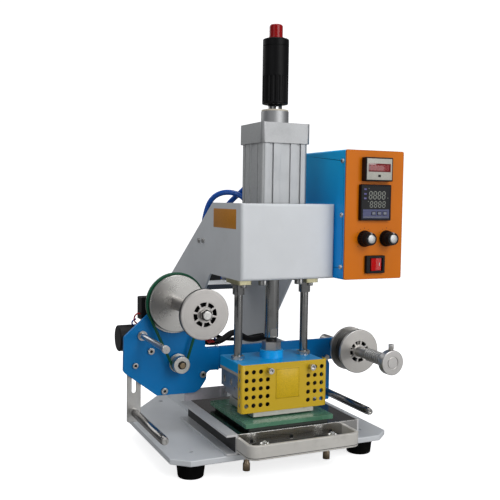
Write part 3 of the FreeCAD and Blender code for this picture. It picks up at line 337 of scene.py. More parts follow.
# Painted parts
frame_paint = paint("frame_paint", (0.68, 0.70, 0.72), rough=0.36, dirt=0.10, wear=0.25,
                    wear_colour=grey(0.5))
base_paint = paint("base_paint", (0.66, 0.68, 0.70), rough=0.30, dirt=0.12, wear=0.4,
                   wear_colour=grey(0.42))
BLUE_ENAMEL = dict(colour=(0.001, 0.190, 0.52), rough=0.30, dirt=0.05, wear=0.25,
                   wear_colour=(0.30, 0.42, 0.52), dust=(0.14, 0.30, 0.46), specular=0.22,
                   coat=0.06)
blue_paint = paint("blue_paint", **BLUE_ENAMEL)
# The box gets painted light: a brighter blue towards the top, from z 345 to 425
box_blue = paint("box_blue_paint", (0.001, 0.31, 0.84), rough=0.33, dirt=0.03, wear=0.15,
                 wear_colour=(0.30, 0.42, 0.52), dust=(0.15, 0.40, 0.70), specular=0.20,
                 coat=0.05, painted_top_light=(345, 425, (0.010, 0.50, 1.0)))
# Painted light and shade: the brighter blue above z 146.4 lights the top, which lies in the head's
# shadow; the thin dark front band is painted shade seen through the guard's holes
platen_blue = paint("platen_blue_paint", (0.006, 0.34, 0.74), rough=0.30, dirt=0.10, wear=0.5,
                    wear_colour=(0.42, 0.50, 0.56), dust=(0.22, 0.36, 0.44), specular=0.25,
                    zones=[Zone("Z", 146.4, 160, (0.002, 0.40, 0.90), 0.0, 0.30),
                           Zone("Y", -41.6, -40.85, GUARD_HOLE_SHADE, 0.0, 0.5)])
orange_panel = paint("orange_panel", (0.66, 0.165, 0.002), rough=0.30, dirt=0.03, coat=0.04,
                     dust=(0.60, 0.18, 0.02), edge_radius=0.0016, rim=(0.10, 0.085, 0.05),
                     specular=0.10)
guard_yellow = paint("guard_yellow", (0.66, 0.43, 0.012), rough=0.34, dirt=0.10, wear=0.35,
                     wear_colour=(0.45, 0.38, 0.22), dust=(0.40, 0.28, 0.08))
tray_grey = paint("tray_grey", (0.58, 0.56, 0.52), rough=0.34, dirt=0.30, wear=0.5,
                  wear_colour=(0.62, 0.61, 0.6), dust=(0.25, 0.23, 0.2),
                  zones=[Zone("Z", 40.0, 41.0, (0.10, 0.098, 0.09), 0.0, 0.5)])
bracket_blue = paint("right_bracket_paint", **BLUE_ENAMEL,
                     zones=[Zone("Y", -80, 81.1, (0.60, 0.59, 0.57), 1.0, 0.25)])

# Cylinder, ram and head
# The lighter strips at the left vertical corner of the barrel and caps are painted highlights
barrel_alu = metal("barrel_alu", (0.43, 0.44, 0.45), rough=0.50, brush=(6, 6, 0.08), depth=0.10,
                   stain=0.05, zones=[Zone("X", -35.2, -32.4, (0.60, 0.61, 0.61), 0.62, 0.5)])
cap_alu = metal("cap_alu", (0.42, 0.425, 0.43), rough=0.50, depth=0.12, stain=0.08, pits=0.2,
                zones=[Zone("Z", 497.05, 520, (0.62, 0.56, 0.44), 0.0, 0.45),
                       Zone("X", -37.8, -37.1, (0.56, 0.57, 0.57), 0.75, 0.5)])
head_steel = metal("head_steel", grey(0.42), rough=0.45, brush=(1, 8, 1), depth=0.2, stain=0.3)
GROUND = dict(rough=0.07, brush=(30, 30, 1.0), depth=0.10, stain=0.45,
              stain_colour=(0.10, 0.085, 0.07))
ground_rod = metal("ground_rod", GROUND_STEEL, **GROUND)
piston_chrome = metal("piston_rod_chrome", (0.36, 0.36, 0.355), **GROUND,
                      zones=[Zone("Z", 169.8, 176.3, grey(0.03), 0.6, 0.4)])
ram_steel = metal("ram_fastener_steel", (0.60, 0.59, 0.58), rough=0.24, depth=0.2, stain=0.35)
yellow_zinc = metal("yellow_zinc", (0.60, 0.56, 0.36), rough=0.36, depth=0.25, stain=0.35,
                    stain_colour=(0.26, 0.24, 0.13),
                    zones=[Zone("Z", 230, 254.9, GROUND_STEEL, 1.0, 0.22)])
die_alu = metal("die_alu", (0.66, 0.63, 0.58), rough=0.42, brush=(1, 1, 6), depth=0.15,
                stain=0.25, stain_colour=(0.35, 0.30, 0.22))


def hot_alu(name, front):
    """Heat-stained aluminium with a dark band of painted shade 1.1 deep from y = front, where the
    face shows through the heat guard's holes.
    """
    return metal(name, (0.50, 0.49, 0.46), rough=0.36, brush=(1, 1, 8), depth=0.2, stain=0.5,
                 stain_colour=(0.18, 0.15, 0.11),
                 zones=[Zone("Y", front, front + 1.1, GUARD_HOLE_SHADE, 0.3, 0.5)])


heater_alu = hot_alu("heater_alu", -38.7)
holder_alu = hot_alu("die_holder_alu", -36.7)
# The dark navy band low on the valve body is painted shade under the head; the black band above it is
# the coil
valve_alu = metal("valve_alu", (0.90, 0.92, 0.94), rough=0.34, depth=0.1, stain=0.08,
                  zones=[Zone("Z", 249.95, 420, (0.008, 0.008, 0.009), 0.0, 0.45),
                         Zone("Z", 230, 243.5, (0.03, 0.045, 0.07), 0.3, 0.4)])

# Steelwork, fasteners, table
plain_steel = metal("plain_steel", (0.56, 0.55, 0.53), rough=0.30, brush=(1, 1, 1), depth=0.22,
                    stain=0.35, stain_colour=(0.22, 0.19, 0.16))
bracket_steel = metal("bracket_steel", (0.62, 0.61, 0.59), rough=0.34, brush=(8, 8, 0.6),
                      depth=0.2, stain=0.25)
table_steel = metal("table_stainless", (0.17, 0.155, 0.145), rough=0.13, brush=(1.0, 0.05, 1.0),
                    depth=0.12, stain=0.45, stain_colour=(0.10, 0.08, 0.07),
                    zones=[Zone("Y", -70, -64.3, (0.60, 0.59, 0.57), 1.0, 0.22)])
screw_steel = metal("screw_steel", (0.62, 0.61, 0.59), rough=0.24, depth=0.2, stain=0.30,
                    zones=[Zone("Z", 250, 263.5, GROUND_STEEL, 1.0, 0.30),
                           Zone("Y", 68.25, 68.95, NEAR_BLACK, 0.3, 0.5)])
roller_chrome = metal("roller_chrome", (0.30, 0.29, 0.28), rough=0.12, brush=(20, 0.5, 20),
                      depth=0.2, stain=0.4, stain_colour=(0.08, 0.07, 0.06))
brass = metal("brass_screw", (0.40, 0.31, 0.22), rough=0.28, brush=(1, 1, 10), depth=0.2,
              stain=0.3)
# The near-black band on the web is painted shade inside the channel
rail_zinc = metal("rail_zinc", (0.58, 0.59, 0.60), rough=0.36, brush=(6, 0.3, 6), depth=0.2,
                  stain=0.25, zones=[Zone("Z", 30, 62, (0.62, 0.63, 0.64), 0.15, 0.35),
                                     Zone("Z", 36.2, 57.8, NEAR_BLACK, 0.2, 0.5),
                                     Zone("Y", -66.6, -65.7, grey(0.66), 0.1, 0.35)])
nut_nickel = metal("nut_nickel", (0.82, 0.82, 0.81), rough=0.20, brush=(1, 1, 6), depth=0.15,
                   stain=0.2)
knob_silver = metal("cap_silver", (0.46, 0.46, 0.455), rough=0.30, brush=(3, 3, 3), depth=0.5,
                    stain=0.35, stain_colour=grey(0.2))
pan_zinc = metal("pan_head_zinc", grey(0.66), rough=0.22, depth=0.2, stain=0.3)
board_green = glass_fibre()

# Reels, pulley, foil path
# The near-black band from y -55.6 to -49.95 is painted shade on the front disc's rim side, slot walls
# and back
take_up_metal = turned("turned_take_up", (0.52, 0.50, 0.48), TAKE_UP, rough=0.34,
                       zones=[Zone("Y", -55.6, -49.95, (0.010, 0.010, 0.011), 0.0, 0.45)])
drive_metal = turned("turned_drive_disc", (0.50, 0.49, 0.47), TAKE_UP, rough=0.27, pitch=3200,
                     depth=0.35, stain=0.06)
# The near-black band between the flanges is painted shade on the inner face of the rear flange
unwind_metal = turned("turned_unwind", (0.60, 0.58, 0.55), UNWIND, rough=0.34,
                      zones=[Zone("Y", 4.05, 26.95, grey(0.012), 0.0, 0.45)])
collar_metal = turned("turned_collar", (0.68, 0.66, 0.64), UNWIND, rough=0.30)
pulley_metal = turned("turned_pulley", (0.70, 0.69, 0.66), FEED, rough=0.30,
                      zones=[Zone("Y", 48.05, 48.45, NEAR_BLACK, 0.3, 0.5),
                             Zone("Y", 43.5, 45.6, (0.34, 0.26, 0.17), 1.0, 0.3)])
shaft_steel = metal("take_up_shaft_steel", (0.66, 0.65, 0.63), rough=0.24, depth=0.2,
                    stain=0.25, zones=[Zone("Y", -66.1, -63.8, SMOKED, 0.6, 0.45),
                                       Zone("Y", -59.4, -58.0, SMOKED, 0.6, 0.45)])
foil_steel = metal("foil_bar_steel", (0.74, 0.70, 0.74), rough=0.30, brush=(8, 0.6, 8),
                   depth=0.15, stain=0.2, stain_colour=(0.35, 0.30, 0.34),
                   zones=[Zone("Z", 60, 110, (0.52, 0.49, 0.53), 0.2, 0.32)])

# Plastics
knob_black = plastic("knob_anodised", (0.0045, 0.0045, 0.005), rough=0.40, grain=700,
                     relief=0.3, dust=0.01, specular=0.12)
black = plastic("black_moulded", (0.006, 0.006, 0.007), rough=0.42, grain=900, relief=0.5,
                dust=0.02, specular=0.18)
gloss_black = plastic("black_gloss", (0.004, 0.004, 0.006), rough=0.30, grain=1200, relief=0.1,
                      coat=0.04, dust=0.01, specular=0.12)
motor_black = plastic("motor_black", (0.008, 0.008, 0.009), rough=0.45, grain=500, relief=0.8,
                      dust=0.05, specular=0.2)
gloss_red = plastic("red_gloss", (0.30, 0.003, 0.004), rough=0.20, grain=900, relief=0.1,
                    coat=0.2, dust=0.01, specular=0.18)
rocker_red = plastic("rocker_red", (0.50, 0.003, 0.004), rough=0.22, grain=900, relief=0.1,
                     coat=0.2, dust=0.01, specular=0.2)
rubber = plastic("foot_rubber", grey(0.0035), rough=0.7, grain=420, relief=1.0, dust=0.03,
                 specular=0.05)
hose_blue = plastic("hose_blue", (0.004, 0.10, 0.50), rough=0.16, grain=600, relief=0.1,
                    coat=0.6)
belt_green = plastic("belt_green", (0.004, 0.085, 0.040), rough=0.36, grain=1600, relief=0.6)
cable_black = plastic("cable_black", (0.006, 0.006, 0.007), rough=0.42, grain=700, relief=0.4,
                      dust=0.02, specular=0.2)
mica = plastic("mica_board", (0.42, 0.38, 0.32), rough=0.55, grain=350, relief=0.9, dust=0.3)
wire_red = plastic("wire_red", (0.45, 0.01, 0.01), rough=0.35, grain=600, relief=0.2)
wire_blue = plastic("wire_blue", (0.01, 0.06, 0.40), rough=0.35, grain=600, relief=0.2)
white = plastic("white_nylon", (0.70, 0.69, 0.66), rough=0.38, grain=600, relief=0.3)

# Control panel and labels
counter_face = plastic("counter_face", (0.46, 0.45, 0.40), rough=0.35, grain=900, relief=0.2)
counter_window = plastic("counter_window", (0.16, 0.008, 0.010), rough=0.12, grain=900,
                         relief=0.05, coat=0.8)
digit_red = glow("digit_red", (0.55, 0.02, 0.02), strength=0.35, base=(0.20, 0.01, 0.01))
# The grey digits, lamp domes and line and the dark lamp row are unlit: their faint emission is
# painted light
grey_digit_painted_glow = glow("grey_digit_painted_glow", (0.25, 0.26, 0.22), strength=0.12, base=(0.15, 0.16, 0.135))
navy = plastic("navy_strip", (0.012, 0.020, 0.11), rough=0.25, grain=900, relief=0.1, coat=0.3)
key_rubber = plastic("key_rubber", (0.20, 0.21, 0.26), rough=0.4, grain=900, relief=0.3)
dark_lamp_painted_glow = glow("indicator_dark_painted_glow", (0.10, 0.08, 0.30), strength=0.4, base=(0.05, 0.05, 0.14))
ink = plastic("print_ink", (0.035, 0.02, 0.012), rough=0.5, grain=900, relief=0.1)
sticker_orange = plastic("sticker_orange", (0.56, 0.22, 0.015), rough=0.35, grain=700,
                         relief=0.2, coat=0.2)
label_yellow = plastic("label_yellow", (0.66, 0.43, 0.012), rough=0.30, grain=700, relief=0.2,
                       coat=0.1, dust=0.02)
label_rim = plastic("label_rim", (0.42, 0.27, 0.01), rough=0.35, grain=700, relief=0.2)


# ------------------------------------------------------------------ CAD pieces
def dress(node, material, rounding=0.0, segments=2):
    """Give a CAD piece its material and round its hard edges."""
    piece = nodes[node]
    slots = piece.data.materials
    if len(slots) == 0:
        slots.append(material)
    for i in range(len(slots)):
        slots[i] = material
    if rounding:
        weld = piece.modifiers.new("weld", "WELD")
        weld.merge_threshold = 1e-6
        bevel = piece.modifiers.new("round", "BEVEL")
        bevel.width = rounding * MM
        bevel.segments = segments
        bevel.limit_method = "ANGLE"
        bevel.angle_limit = math.radians(38)
        bevel.miter_outer = "MITER_ARC"
        bevel.use_clamp_overlap = True


# CAD piece, material, edge rounding
FINISHES = (
    ("base_plate", base_paint, 0), ("rubber_feet", rubber, 0), ("level_screws", brass, 0.3),
    ("frame_shell", frame_paint, 0.6), ("frame_back_plate", frame_paint, 0.4),
    ("head_plate", head_steel, 0.4), ("guide_bushings", yellow_zinc, 0.5),
    ("cylinder_bottom_cap", cap_alu, 0.6), ("cylinder_barrel", barrel_alu, 0),
    ("cylinder_top_cap", cap_alu, 0.7), ("piston_rod", piston_chrome, 0.4),
    ("platen_plate", platen_blue, 0.4), ("guide_rods", ground_rod, 0),
    ("insulation_board", mica, 0.3), ("heater_block", heater_alu, 0.4),
    ("heater_cartridges", plain_steel, 0.3), ("die_holder", holder_alu, 0.4),
    ("die_plate", die_alu, 0.4), ("ram_fasteners", ram_steel, 0.3),
    ("red_end_cap", gloss_red, 0), ("stroke_knob", knob_black, 0),
    ("solenoid_valve", valve_alu, 0.4), ("air_hoses", hose_blue, 0),
    ("spool_plate", blue_paint, 0.3), ("cross_bar", blue_paint, 0.4),
    ("steel_screws", screw_steel, 0.25), ("gear_motor", motor_black, 0.5),
    ("guide_pin", ram_steel, 0.3), ("spool_bearing", plain_steel, 0.3),
    ("drive_disc", drive_metal, 0.3), ("front_disc", take_up_metal, 0.2),
    ("take_up_shaft", shaft_steel, 0.3), ("feed_pulley", pulley_metal, 0.3),
    ("drive_belt", belt_green, 0), ("unwind_shaft", plain_steel, 0.3),
    ("unwind_spool", unwind_metal, 0.2), ("friction_spring", plain_steel, 0),
    ("end_collar", collar_metal, 0.2), ("left_bracket", bracket_steel, 0.3),
    ("left_roller", roller_chrome, 0.3), ("right_bracket", bracket_blue, 0.3),
    ("right_roller", roller_chrome, 0.3), ("foil_bar", foil_steel, 0.3),
    ("cable_harness", cable_black, 0), ("control_box", box_blue, 0.4),
    ("control_panel", orange_panel, 0.4), ("counter_unit", black, 0.4),
    ("temperature_controller", gloss_black, 0.3), ("controller_keys", gloss_black, 0.2),
    ("switch_bezel", black, 0.3), ("power_rocker", rocker_red, 0.3),
    ("temperature_knob", black, 0.2), ("timer_knob", black, 0.2),
    ("potentiometers", plain_steel, 0.2), ("table_rails", rail_zinc, 0.3),
    ("slide_table", table_steel, 0.3), ("work_board", board_green, 0.4),
    ("front_tray", tray_grey, 0.4), ("tray_nuts", nut_nickel, 0.3),
)
for node, material, rounding in FINISHES:
    dress(node, material, rounding)
dress("heat_guard", guard_yellow, 0.15, segments=1)


# ------------------------------------------------------------------ mesh helpers
def emit(name, bm, material, body="frame", smooth=True):
    """Turn bm into an object that rides on body."""
    mesh = bpy.data.meshes.new(name)
    bmesh.ops.recalc_face_normals(bm, faces=bm.faces)
    bm.to_mesh(mesh)
    bm.free()
    mesh.materials.append(material)
    piece = bpy.data.objects.new(name, mesh)
    bpy.context.scene.collection.objects.link(piece)
    if smooth:
        for face in mesh.polygons:
            face.use_smooth = True
        mesh.set_sharp_from_angle(angle=math.radians(35.0))
    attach(piece, body)


def join(bm, part):
    mesh = bpy.data.meshes.new("tmp")
    part.to_mesh(mesh)
    part.free()
    bm.from_mesh(mesh)
    bpy.data.meshes.remove(mesh)


def add_box(bm, x_span, y_span, z_span, radius, segments=2):
    """Box with every edge rounded."""
    part = bmesh.new()
    bmesh.ops.create_cube(part, size=1.0)
    spans = (x_span, y_span, z_span)
    for vert in part.verts:
        vert.co = Vector([(low + high) / 2 + c * (high - low)
                          for c, (low, high) in zip(vert.co, spans)]) * MM
    offset = min(radius, 0.49 * min(high - low for low, high in spans)) * MM
    bmesh.ops.bevel(part, geom=part.edges[:], offset=offset, segments=segments, profile=0.5,
                    affect="EDGES")
    join(bm, part)


def add_lathe(bm, profile, centre, axis, segments, closed=False):
    """Revolve (radius, place along axis) points about an X or Y axis through centre.

    A first point of radius 0 closes that end.
    """
    def point(u, v, along):
        if axis == "Y":
            return Vector((centre[0] + u, along, centre[2] + v)) * MM
        return Vector((along, centre[1] + u, centre[2] + v)) * MM

    part = bmesh.new()
    rings = []
    for radius, along in profile:
        count = segments if radius else 1
        turns = [2 * math.pi * i / segments for i in range(count)]
        rings.append([part.verts.new(point(radius * math.cos(t), radius * math.sin(t), along))
                      for t in turns])
    pairs = list(zip(rings[:-1], rings[1:]))
    if closed:
        pairs.append((rings[-1], rings[0]))
    for a, b in pairs:
        for i in range(segments):
            j = (i + 1) % segments
            if len(a) == 1:
                part.faces.new((a[0], b[i], b[j]))
            else:
                part.faces.new((a[i], a[j], b[j], b[i]))
    bmesh.ops.recalc_face_normals(part, faces=part.faces)
    join(bm, part)


def plate(name, x_span, y_span, z_span, material, radius, body="frame"):
    bm = bmesh.new()
    add_box(bm, x_span, y_span, z_span, radius)
    emit(name, bm, material, body)


def wire(name, radius, material, points, cyclic=False):
    """Round wire through the points."""
    curve = bpy.data.curves.new(name, "CURVE")
    curve.dimensions = "3D"
    curve.bevel_depth = radius * MM
    curve.bevel_resolution = 4
    curve.resolution_u = 8
    curve.use_fill_caps = True
    spline = curve.splines.new("BEZIER")
    spline.bezier_points.add(len(points) - 1)
    for knot, point in zip(spline.bezier_points, points):
        knot.co = Vector(point) * MM
        knot.handle_left_type = knot.handle_right_type = "AUTO"
    spline.use_cyclic_u = cyclic
    curve.materials.append(material)
    piece = bpy.data.objects.new(name, curve)
    bpy.context.scene.collection.objects.link(piece)
    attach(piece, "frame")


def add_digit(bm, x, z, width, height, stroke, y_span):
    """Slanted seven-segment 8 with its lower left corner at x, z."""
    slant = 0.08
    right, top, middle = x + width, z + height, z + height / 2
    strokes = (
        (x, top, right, top), (right, top, right, middle), (right, middle, right, z),
        (x, z, right, z), (x, middle, x, z), (x, top, x, middle), (x, middle, right, middle),
    )
    tip, shoulder, half = stroke * 0.62 * 0.6, stroke * 0.62 * 1.2, stroke / 2
    for ax, az, bx, bz in strokes:
        length = math.hypot(bx - ax, bz - az)
        ux, uz = (bx - ax) / length, (bz - az) / length
        outline = ((tip, 0), (shoulder, half), (length - shoulder, half), (length - tip, 0),
                   (length - shoulder, -half), (shoulder, -half))  # along, across
        flat = [(ax + ux * along - uz * across, az + uz * along + ux * across)
                for along, across in outline]
        front, back = [[bm.verts.new(Vector((px + (pz - z) * slant, y, pz)) * MM)
                        for px, pz in flat] for y in y_span]
        bm.faces.new(front)
        bm.faces.new(back[::-1])
        for i in range(6):
            j = (i + 1) % 6
            bm.faces.new((front[j], front[i], back[i], back[j]))


# ------------------------------------------------------------------ control panel details
def counter():
    """Six-digit counter with a reset key."""
    plate("counter_front", (99.3, 140.6), (-87.25, -85.9), (402.3, 431.7), counter_face, 0.5)
    plate("counter_display", (101.6, 138.0), (-87.55, -86.9), (413.4, 424.8), counter_window,
          0.25)
    bm = bmesh.new()
    for i in range(6):
        add_digit(bm, 105.0 + i * 5.2, 415.6, width=2.9, height=6.6, stroke=0.75,
                  y_span=(-87.70, -87.45))
    emit("counter_digits", bm, digit_red, smooth=False)
    bm = bmesh.new()
    add_box(bm, (117.6, 122.0), (-87.75, -86.9), (406.2, 409.6), 0.6, segments=3)
    emit("counter_reset_key", bm, black)


def windowed_sheet(name, x_span, y_span, z_span, material):
    """Face sheet with a window for each controller key."""
    half_x, half_z = KEY_WINDOW_HALF
    low, high = KEY_Z - half_z, KEY_Z + half_z
    bm = bmesh.new()
    add_box(bm, x_span, y_span, (z_span[0], low), 0.02, segments=1)
    add_box(bm, x_span, y_span, (high, z_span[1]), 0.02, segments=1)
    edges = [x_span[0]]
    for x in KEY_X:
        edges += [x - half_x, x + half_x]
    edges.append(x_span[1])
    for bar in zip(edges[0::2], edges[1::2]):
        add_box(bm, bar, y_span, (low, high), 0.02, segments=1)
    emit(name, bm, material, smooth=False)


def controller():
    """Temperature controller face: two rows of digits, lamps and keys."""
    windowed_sheet("controller_front", (95.8, 141.0), (-82.75, -81.9), (348.4, 393.6),
                   gloss_black)
    windowed_sheet("controller_strip", (96.9, 140.3), (-82.95, -82.5), (349.2, 361.6), navy)
    plate("controller_line", (97.9, 139.5), (-83.05, -82.8), (350.4, 351.1), grey_digit_painted_glow, 0.1)

    bm = bmesh.new()
    y_span = (-82.92, -82.62)
    for i in range(4):
        add_digit(bm, 106.5 + i * 7.2, 376.0, width=4.4, height=10.2, stroke=1.25,
                  y_span=y_span)
        add_digit(bm, 108.3 + i * 6.9, 364.4, width=4.0, height=8.2, stroke=1.1, y_span=y_span)
    emit("controller_digits", bm, grey_digit_painted_glow, smooth=False)

    bm = bmesh.new()
    for x, z in ((106.1, 390.4), (105.5, 372.4), (137.5, 377.4)):
        dome = [(0, -82.98), (0.5, -82.98), (0.7, -82.85), (0.7, -82.6)]
        add_lathe(bm, dome, (x, 0, z), "Y", 16)
    emit("controller_lamps", bm, grey_digit_painted_glow)

    bm = bmesh.new()
    for z in (388.2, 381.8, 375.6):
        add_box(bm, (98.5, 102.5), (-82.95, -82.6), (z, z + 2.2), 0.3)
    emit("controller_lamp_row", bm, dark_lamp_painted_glow)

    bm = bmesh.new()
    half_x, half_z = KEY_CAP_HALF
    for x in KEY_X:
        add_box(bm, (x - half_x, x + half_x), (-83.75, -83.1), (KEY_Z - half_z, KEY_Z + half_z),
                0.5, segments=3)
    emit("controller_key_caps", bm, key_rubber, "controller_keys_body")


def knob(name, x):
    """Silver cap and white pointer of a knob, and the scale printed round it."""
    body = name + "_knob_body"
    bm = bmesh.new()
    cap = [(0, -96.35), (5.2, -96.35), (5.9, -96.15), (6.25, -95.75), (6.25, -95.2)]
    add_lathe(bm, cap, (x, 0, KNOB_Z), "Y", 48)
    emit(name + "_knob_cap", bm, knob_silver, body)

    bm = bmesh.new()
    add_box(bm, (x - 0.45, x + 0.45), (-95.95, -94.6), (KNOB_Z + 6.5, KNOB_Z + 8.7), 0.2)
    add_box(bm, (x - 0.4, x + 0.4), (-94.9, -90.0), (KNOB_Z + 8.2, KNOB_Z + 8.9), 0.2)
    emit(name + "_knob_pointer", bm, white, body)

    bm = bmesh.new()
    for i in range(11):
        angle = math.radians(90 + 135 - 27 * i)
        tick = bmesh.new()
        outer = 15.6 if i % 5 == 0 else 14.8
        add_box(tick, (13.6, outer), (-0.16, 0.10), (-0.28, 0.28), 0.06, segments=1)
        bmesh.ops.rotate(tick, verts=tick.verts, cent=(0, 0, 0),
                         matrix=Matrix.Rotation(-angle, 3, "Y"))
        bmesh.ops.translate(tick, verts=tick.verts, vec=Vector((x, -77.0, KNOB_Z)) * MM)
        join(bm, tick)
    emit(name + "_scale_ticks", bm, ink, smooth=False)


def box_screws():
    """Cross-recess pan heads on both sides of the control box."""
    sides = (("left", BOX_LEFT, -1), ("right", BOX_RIGHT, 1))
    dome = ((0, 2.7), (1.0, 2.68), (2.2, 2.3), (3.1, 1.3), (3.4, 0.3), (3.4, 0))  # radius, height
    for side, x, outward in sides:
        bm = bmesh.new()
        for z in BOX_SCREW_Z:
            profile = [(radius, x + outward * height) for radius, height in dome]
            add_lathe(bm, profile, (0, BOX_SCREW_Y, z), "X", 28)
        emit("box_screws_" + side, bm, pan_zinc)

    bm = bmesh.new()
    for z in BOX_SCREW_Z:
        for _, x, outward in sides:
            x_span = sorted((x + outward * 2.3, x + outward * 2.85))
            for half_y, half_z in ((1.6, 0.35), (0.35, 1.6)):
                add_box(bm, x_span, (BOX_SCREW_Y - half_y, BOX_SCREW_Y + half_y),
                        (z - half_z, z + half_z), 0.1, segments=1)
    emit("box_screw_recesses", bm, ink, smooth=False)


def slot_shade_ring():
    """Black ring round the take-up axis, behind the front disc's vent slots: painted shade that makes
    the slots look dark.
    """
    bm = bmesh.new()
    section = [(9.55, -50.4), (17.6, -50.4), (17.6, -48.6), (9.55, -48.6)]
    add_lathe(bm, section, TAKE_UP, "Y", 64, closed=True)
    emit("reel_slot_shade_ring", bm, black, "take_up_spool")


def labels():
    """Blank labels on the left side and on the heat guard."""
    plate("side_label_blank", (-72.18, -71.9), (-33.0, 49.0), (332.6, 359.6), sticker_orange,
          0.12)
    plate("guard_label_blank", LABEL_X, (-46.16, -45.9), LABEL_Z, label_yellow, 0.1, "ram")
    inset_x, inset_z, line = 0.8, 0.7, 0.6
    left, right = LABEL_X[0] + inset_x, LABEL_X[1] - inset_x
    bottom, top = LABEL_Z[0] + inset_z, LABEL_Z[1] - inset_z
    bm = bmesh.new()
    for x_span, z_span in (((left, right), (bottom, bottom + line)),
                           ((left, right), (top - line, top)),
                           ((left, left + line), (bottom, top)),
                           ((right - line, right), (bottom, top))):
        add_box(bm, x_span, (-46.30, -46.1), z_span, 0.08, segments=1)
    emit("guard_label_border", bm, label_rim, "ram", smooth=False)


counter()
controller()
for knob_name, knob_x in KNOB_X.items():
    knob(knob_name, knob_x)
plate("rocker_mark", (127.0, 127.9), (-81.35, -80.4), (282.0, 287.0), white, 0.2,
      "power_rocker_body")
box_screws()
slot_shade_ring()
labels()

# Loose leads of the foil motor: name, wire radius, material, points
LEADS = (
    ("lead_red_a", 1.1, wire_red,
     [(-158, 88, 197.5), (-163, 90, 188), (-174, 92, 191), (-178.5, 88, 199), (-175, 84, 206),
      (-169, 84, 205)]),
    ("lead_blue_a", 1.1, wire_blue,
     [(-160, 92, 197.5), (-166, 95, 186), (-178, 96, 188), (-180, 92, 194), (-176, 88, 198)]),
    ("lead_red_b", 1.3, wire_red,
     [(-97, 96, 158), (-88, 100, 150), (-76, 94, 154), (-68, 88, 160), (-61, 92, 155),
      (-53, 106, 153), (-46, 118, 150), (-40, 122.5, 149.5)]),
    ("lead_blue_b", 1.6, wire_blue,
     [(-97, 98, 164), (-84, 100, 158), (-70, 92, 163), (-58, 88, 169), (-51, 98, 163),
      (-44, 112, 159), (-38, 122.5, 153)]),
    ("lead_red_c", 1.2, wire_red,
     [(-97, 94, 154), (-86, 98, 145), (-74, 96, 160), (-64, 92, 166), (-57, 102, 158),
      (-50, 114, 154), (-43, 122.8, 151)]),
)
for lead in LEADS:
    wire(*lead)
wire("cable_tie", 0.7, white,
     [(-53.5, 73.6, 152.5), (-53.0, 73.4, 140), (-52.6, 73.4, 126), (-52.2, 73.8, 116.4),
      (-52.2, 78, 115.6), (-52.2, 82.4, 116.6), (-53.0, 82.8, 134), (-53.5, 82.4, 152.6),
      (-53.5, 78, 153.4)], cyclic=True)


# ------------------------------------------------------------------ stage, in metres
def studio_paper():
    """Near white to the camera, mid grey to every other ray."""
    s = Surface("studio_paper")
    seen = s.add("LightPath").outputs["Is Camera Ray"]
    paper = s.mix(s.noise(3, 2, 0.5), grey(0.90), grey(0.93))
    s.set("Base Color", s.mix(seen, grey(0.34), paper))
    s.set("Roughness", 0.8)
    s.set("Specular IOR Level", 0.1)
    s.set("Emission Color", grey(1))
    s.set("Emission Strength", s.math("MULTIPLY", seen, 0.75))
    return s.material


def studio_floor():
    """Floor that sweeps up into a wall behind the machine, turned to face the camera."""
    half_width, front, bend, radius, wall_top, steps = 4.0, -3.0, 2.2, 0.8, 3.0, 12
    profile = [(front, 0.0), (bend, 0.0)]  # y, z
    for i in range(1, steps + 1):
        angle = math.pi / 2 * i / steps
        profile.append((bend + radius * math.sin(angle), radius * (1 - math.cos(angle))))
    profile.append((bend + radius, wall_top))
    bm = bmesh.new()
    left, right = [[bm.verts.new((x, y, z)) for y, z in profile]
                   for x in (-half_width, half_width)]
    for i in range(len(profile) - 1):
        bm.faces.new((left[i], right[i], right[i + 1], left[i + 1]))
    mesh = bpy.data.meshes.new("studio_floor")
    bm.to_mesh(mesh)
    bm.free()
    floor = bpy.data.objects.new("studio_floor", mesh)
    bpy.context.scene.collection.objects.link(floor)
    floor.rotation_euler = (0, 0, math.radians(-24.5))
    mesh.materials.append(studio_paper())


def studio_world():
    """White to the camera, darker in reflections than in diffuse light."""
    world = bpy.data.worlds.new("studio")
    bpy.context.scene.world = world
    world.use_nodes = True
    graph = Graph(world.node_tree)
    ray = graph.add("LightPath").outputs
    ambient = graph.mix(ray["Is Glossy Ray"], (0.25, 0.257, 0.27), (0.15, 0.155, 0.165))
    background = world.node_tree.nodes["Background"]
    graph.feed(background.inputs[0], graph.mix(ray["Is Camera Ray"], ambient, grey(1)))
    background.inputs[1].default_value = 1.0


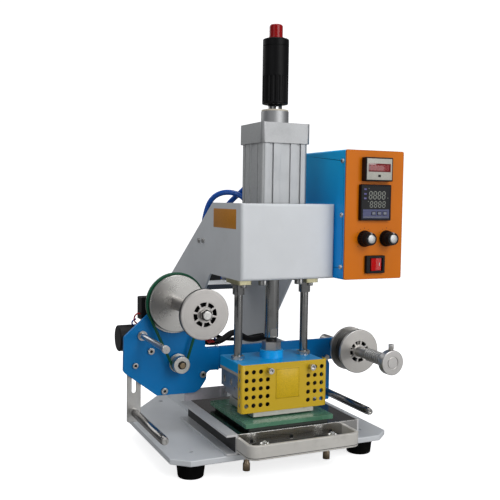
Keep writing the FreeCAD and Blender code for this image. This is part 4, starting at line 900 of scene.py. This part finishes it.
def area_light(name, at, aim_z, size, watts):
    """Rectangular light aimed at the point aim_z up the Z axis."""
    light = bpy.data.lights.new(name, "AREA")
    light.shape = "RECTANGLE"
    light.size, light.size_y = size
    light.energy = watts
    lamp = bpy.data.objects.new(name, light)
    bpy.context.scene.collection.objects.link(lamp)
    lamp.location = at
    direction = Vector((0, 0, aim_z)) - Vector(at)
    lamp.rotation_euler = direction.to_track_quat("-Z", "Y").to_euler()


def camera():
    at = (-0.47835, -0.96988, 0.37393)
    yaw, pitch, roll = (math.radians(a) for a in (24.52713, 3.87216, -0.78309))
    forward = Vector((math.sin(yaw) * math.cos(pitch), math.cos(yaw) * math.cos(pitch),
                      -math.sin(pitch)))
    level = Vector((math.cos(yaw), -math.sin(yaw), 0))
    below = forward.cross(level)
    right = level * math.cos(roll) + below * math.sin(roll)
    down = -level * math.sin(roll) + below * math.cos(roll)
    lens = bpy.data.cameras.new("camera")
    lens.sensor_width = 36.0
    lens.lens = 54.477
    piece = bpy.data.objects.new("camera", lens)
    bpy.context.scene.collection.objects.link(piece)
    rows = [(right[i], -down[i], -forward[i], at[i]) for i in range(3)]
    piece.matrix_world = Matrix(rows + [(0, 0, 0, 1)])
    bpy.context.scene.camera = piece


studio_floor()
studio_world()
area_light("key_light", at=(0.5, -2.05, 1.5), aim_z=0.25, size=(1.3, 1.1), watts=23)
area_light("front_card", at=(1.15, -2.1, 0.45), aim_z=0.2, size=(1.3, 0.9), watts=10)
area_light("fill_light", at=(-2.0, -0.9, 0.9), aim_z=0.25, size=(1.0, 1.4), watts=3.5)
area_light("left_strip", at=(-1.75, -1.55, 0.35), aim_z=0.25, size=(0.22, 1.3), watts=3.0)
area_light("top_light", at=(0.1, 0.0, 2.3), aim_z=0.2, size=(1.6, 1.6), watts=17)
area_light("rim_light", at=(-0.8, 1.9, 1.4), aim_z=0.3, size=(1.4, 1.0), watts=7)
camera()

view = bpy.context.scene.view_settings
view.view_transform = "Standard"
view.look = "None"
view.exposure = 0.0
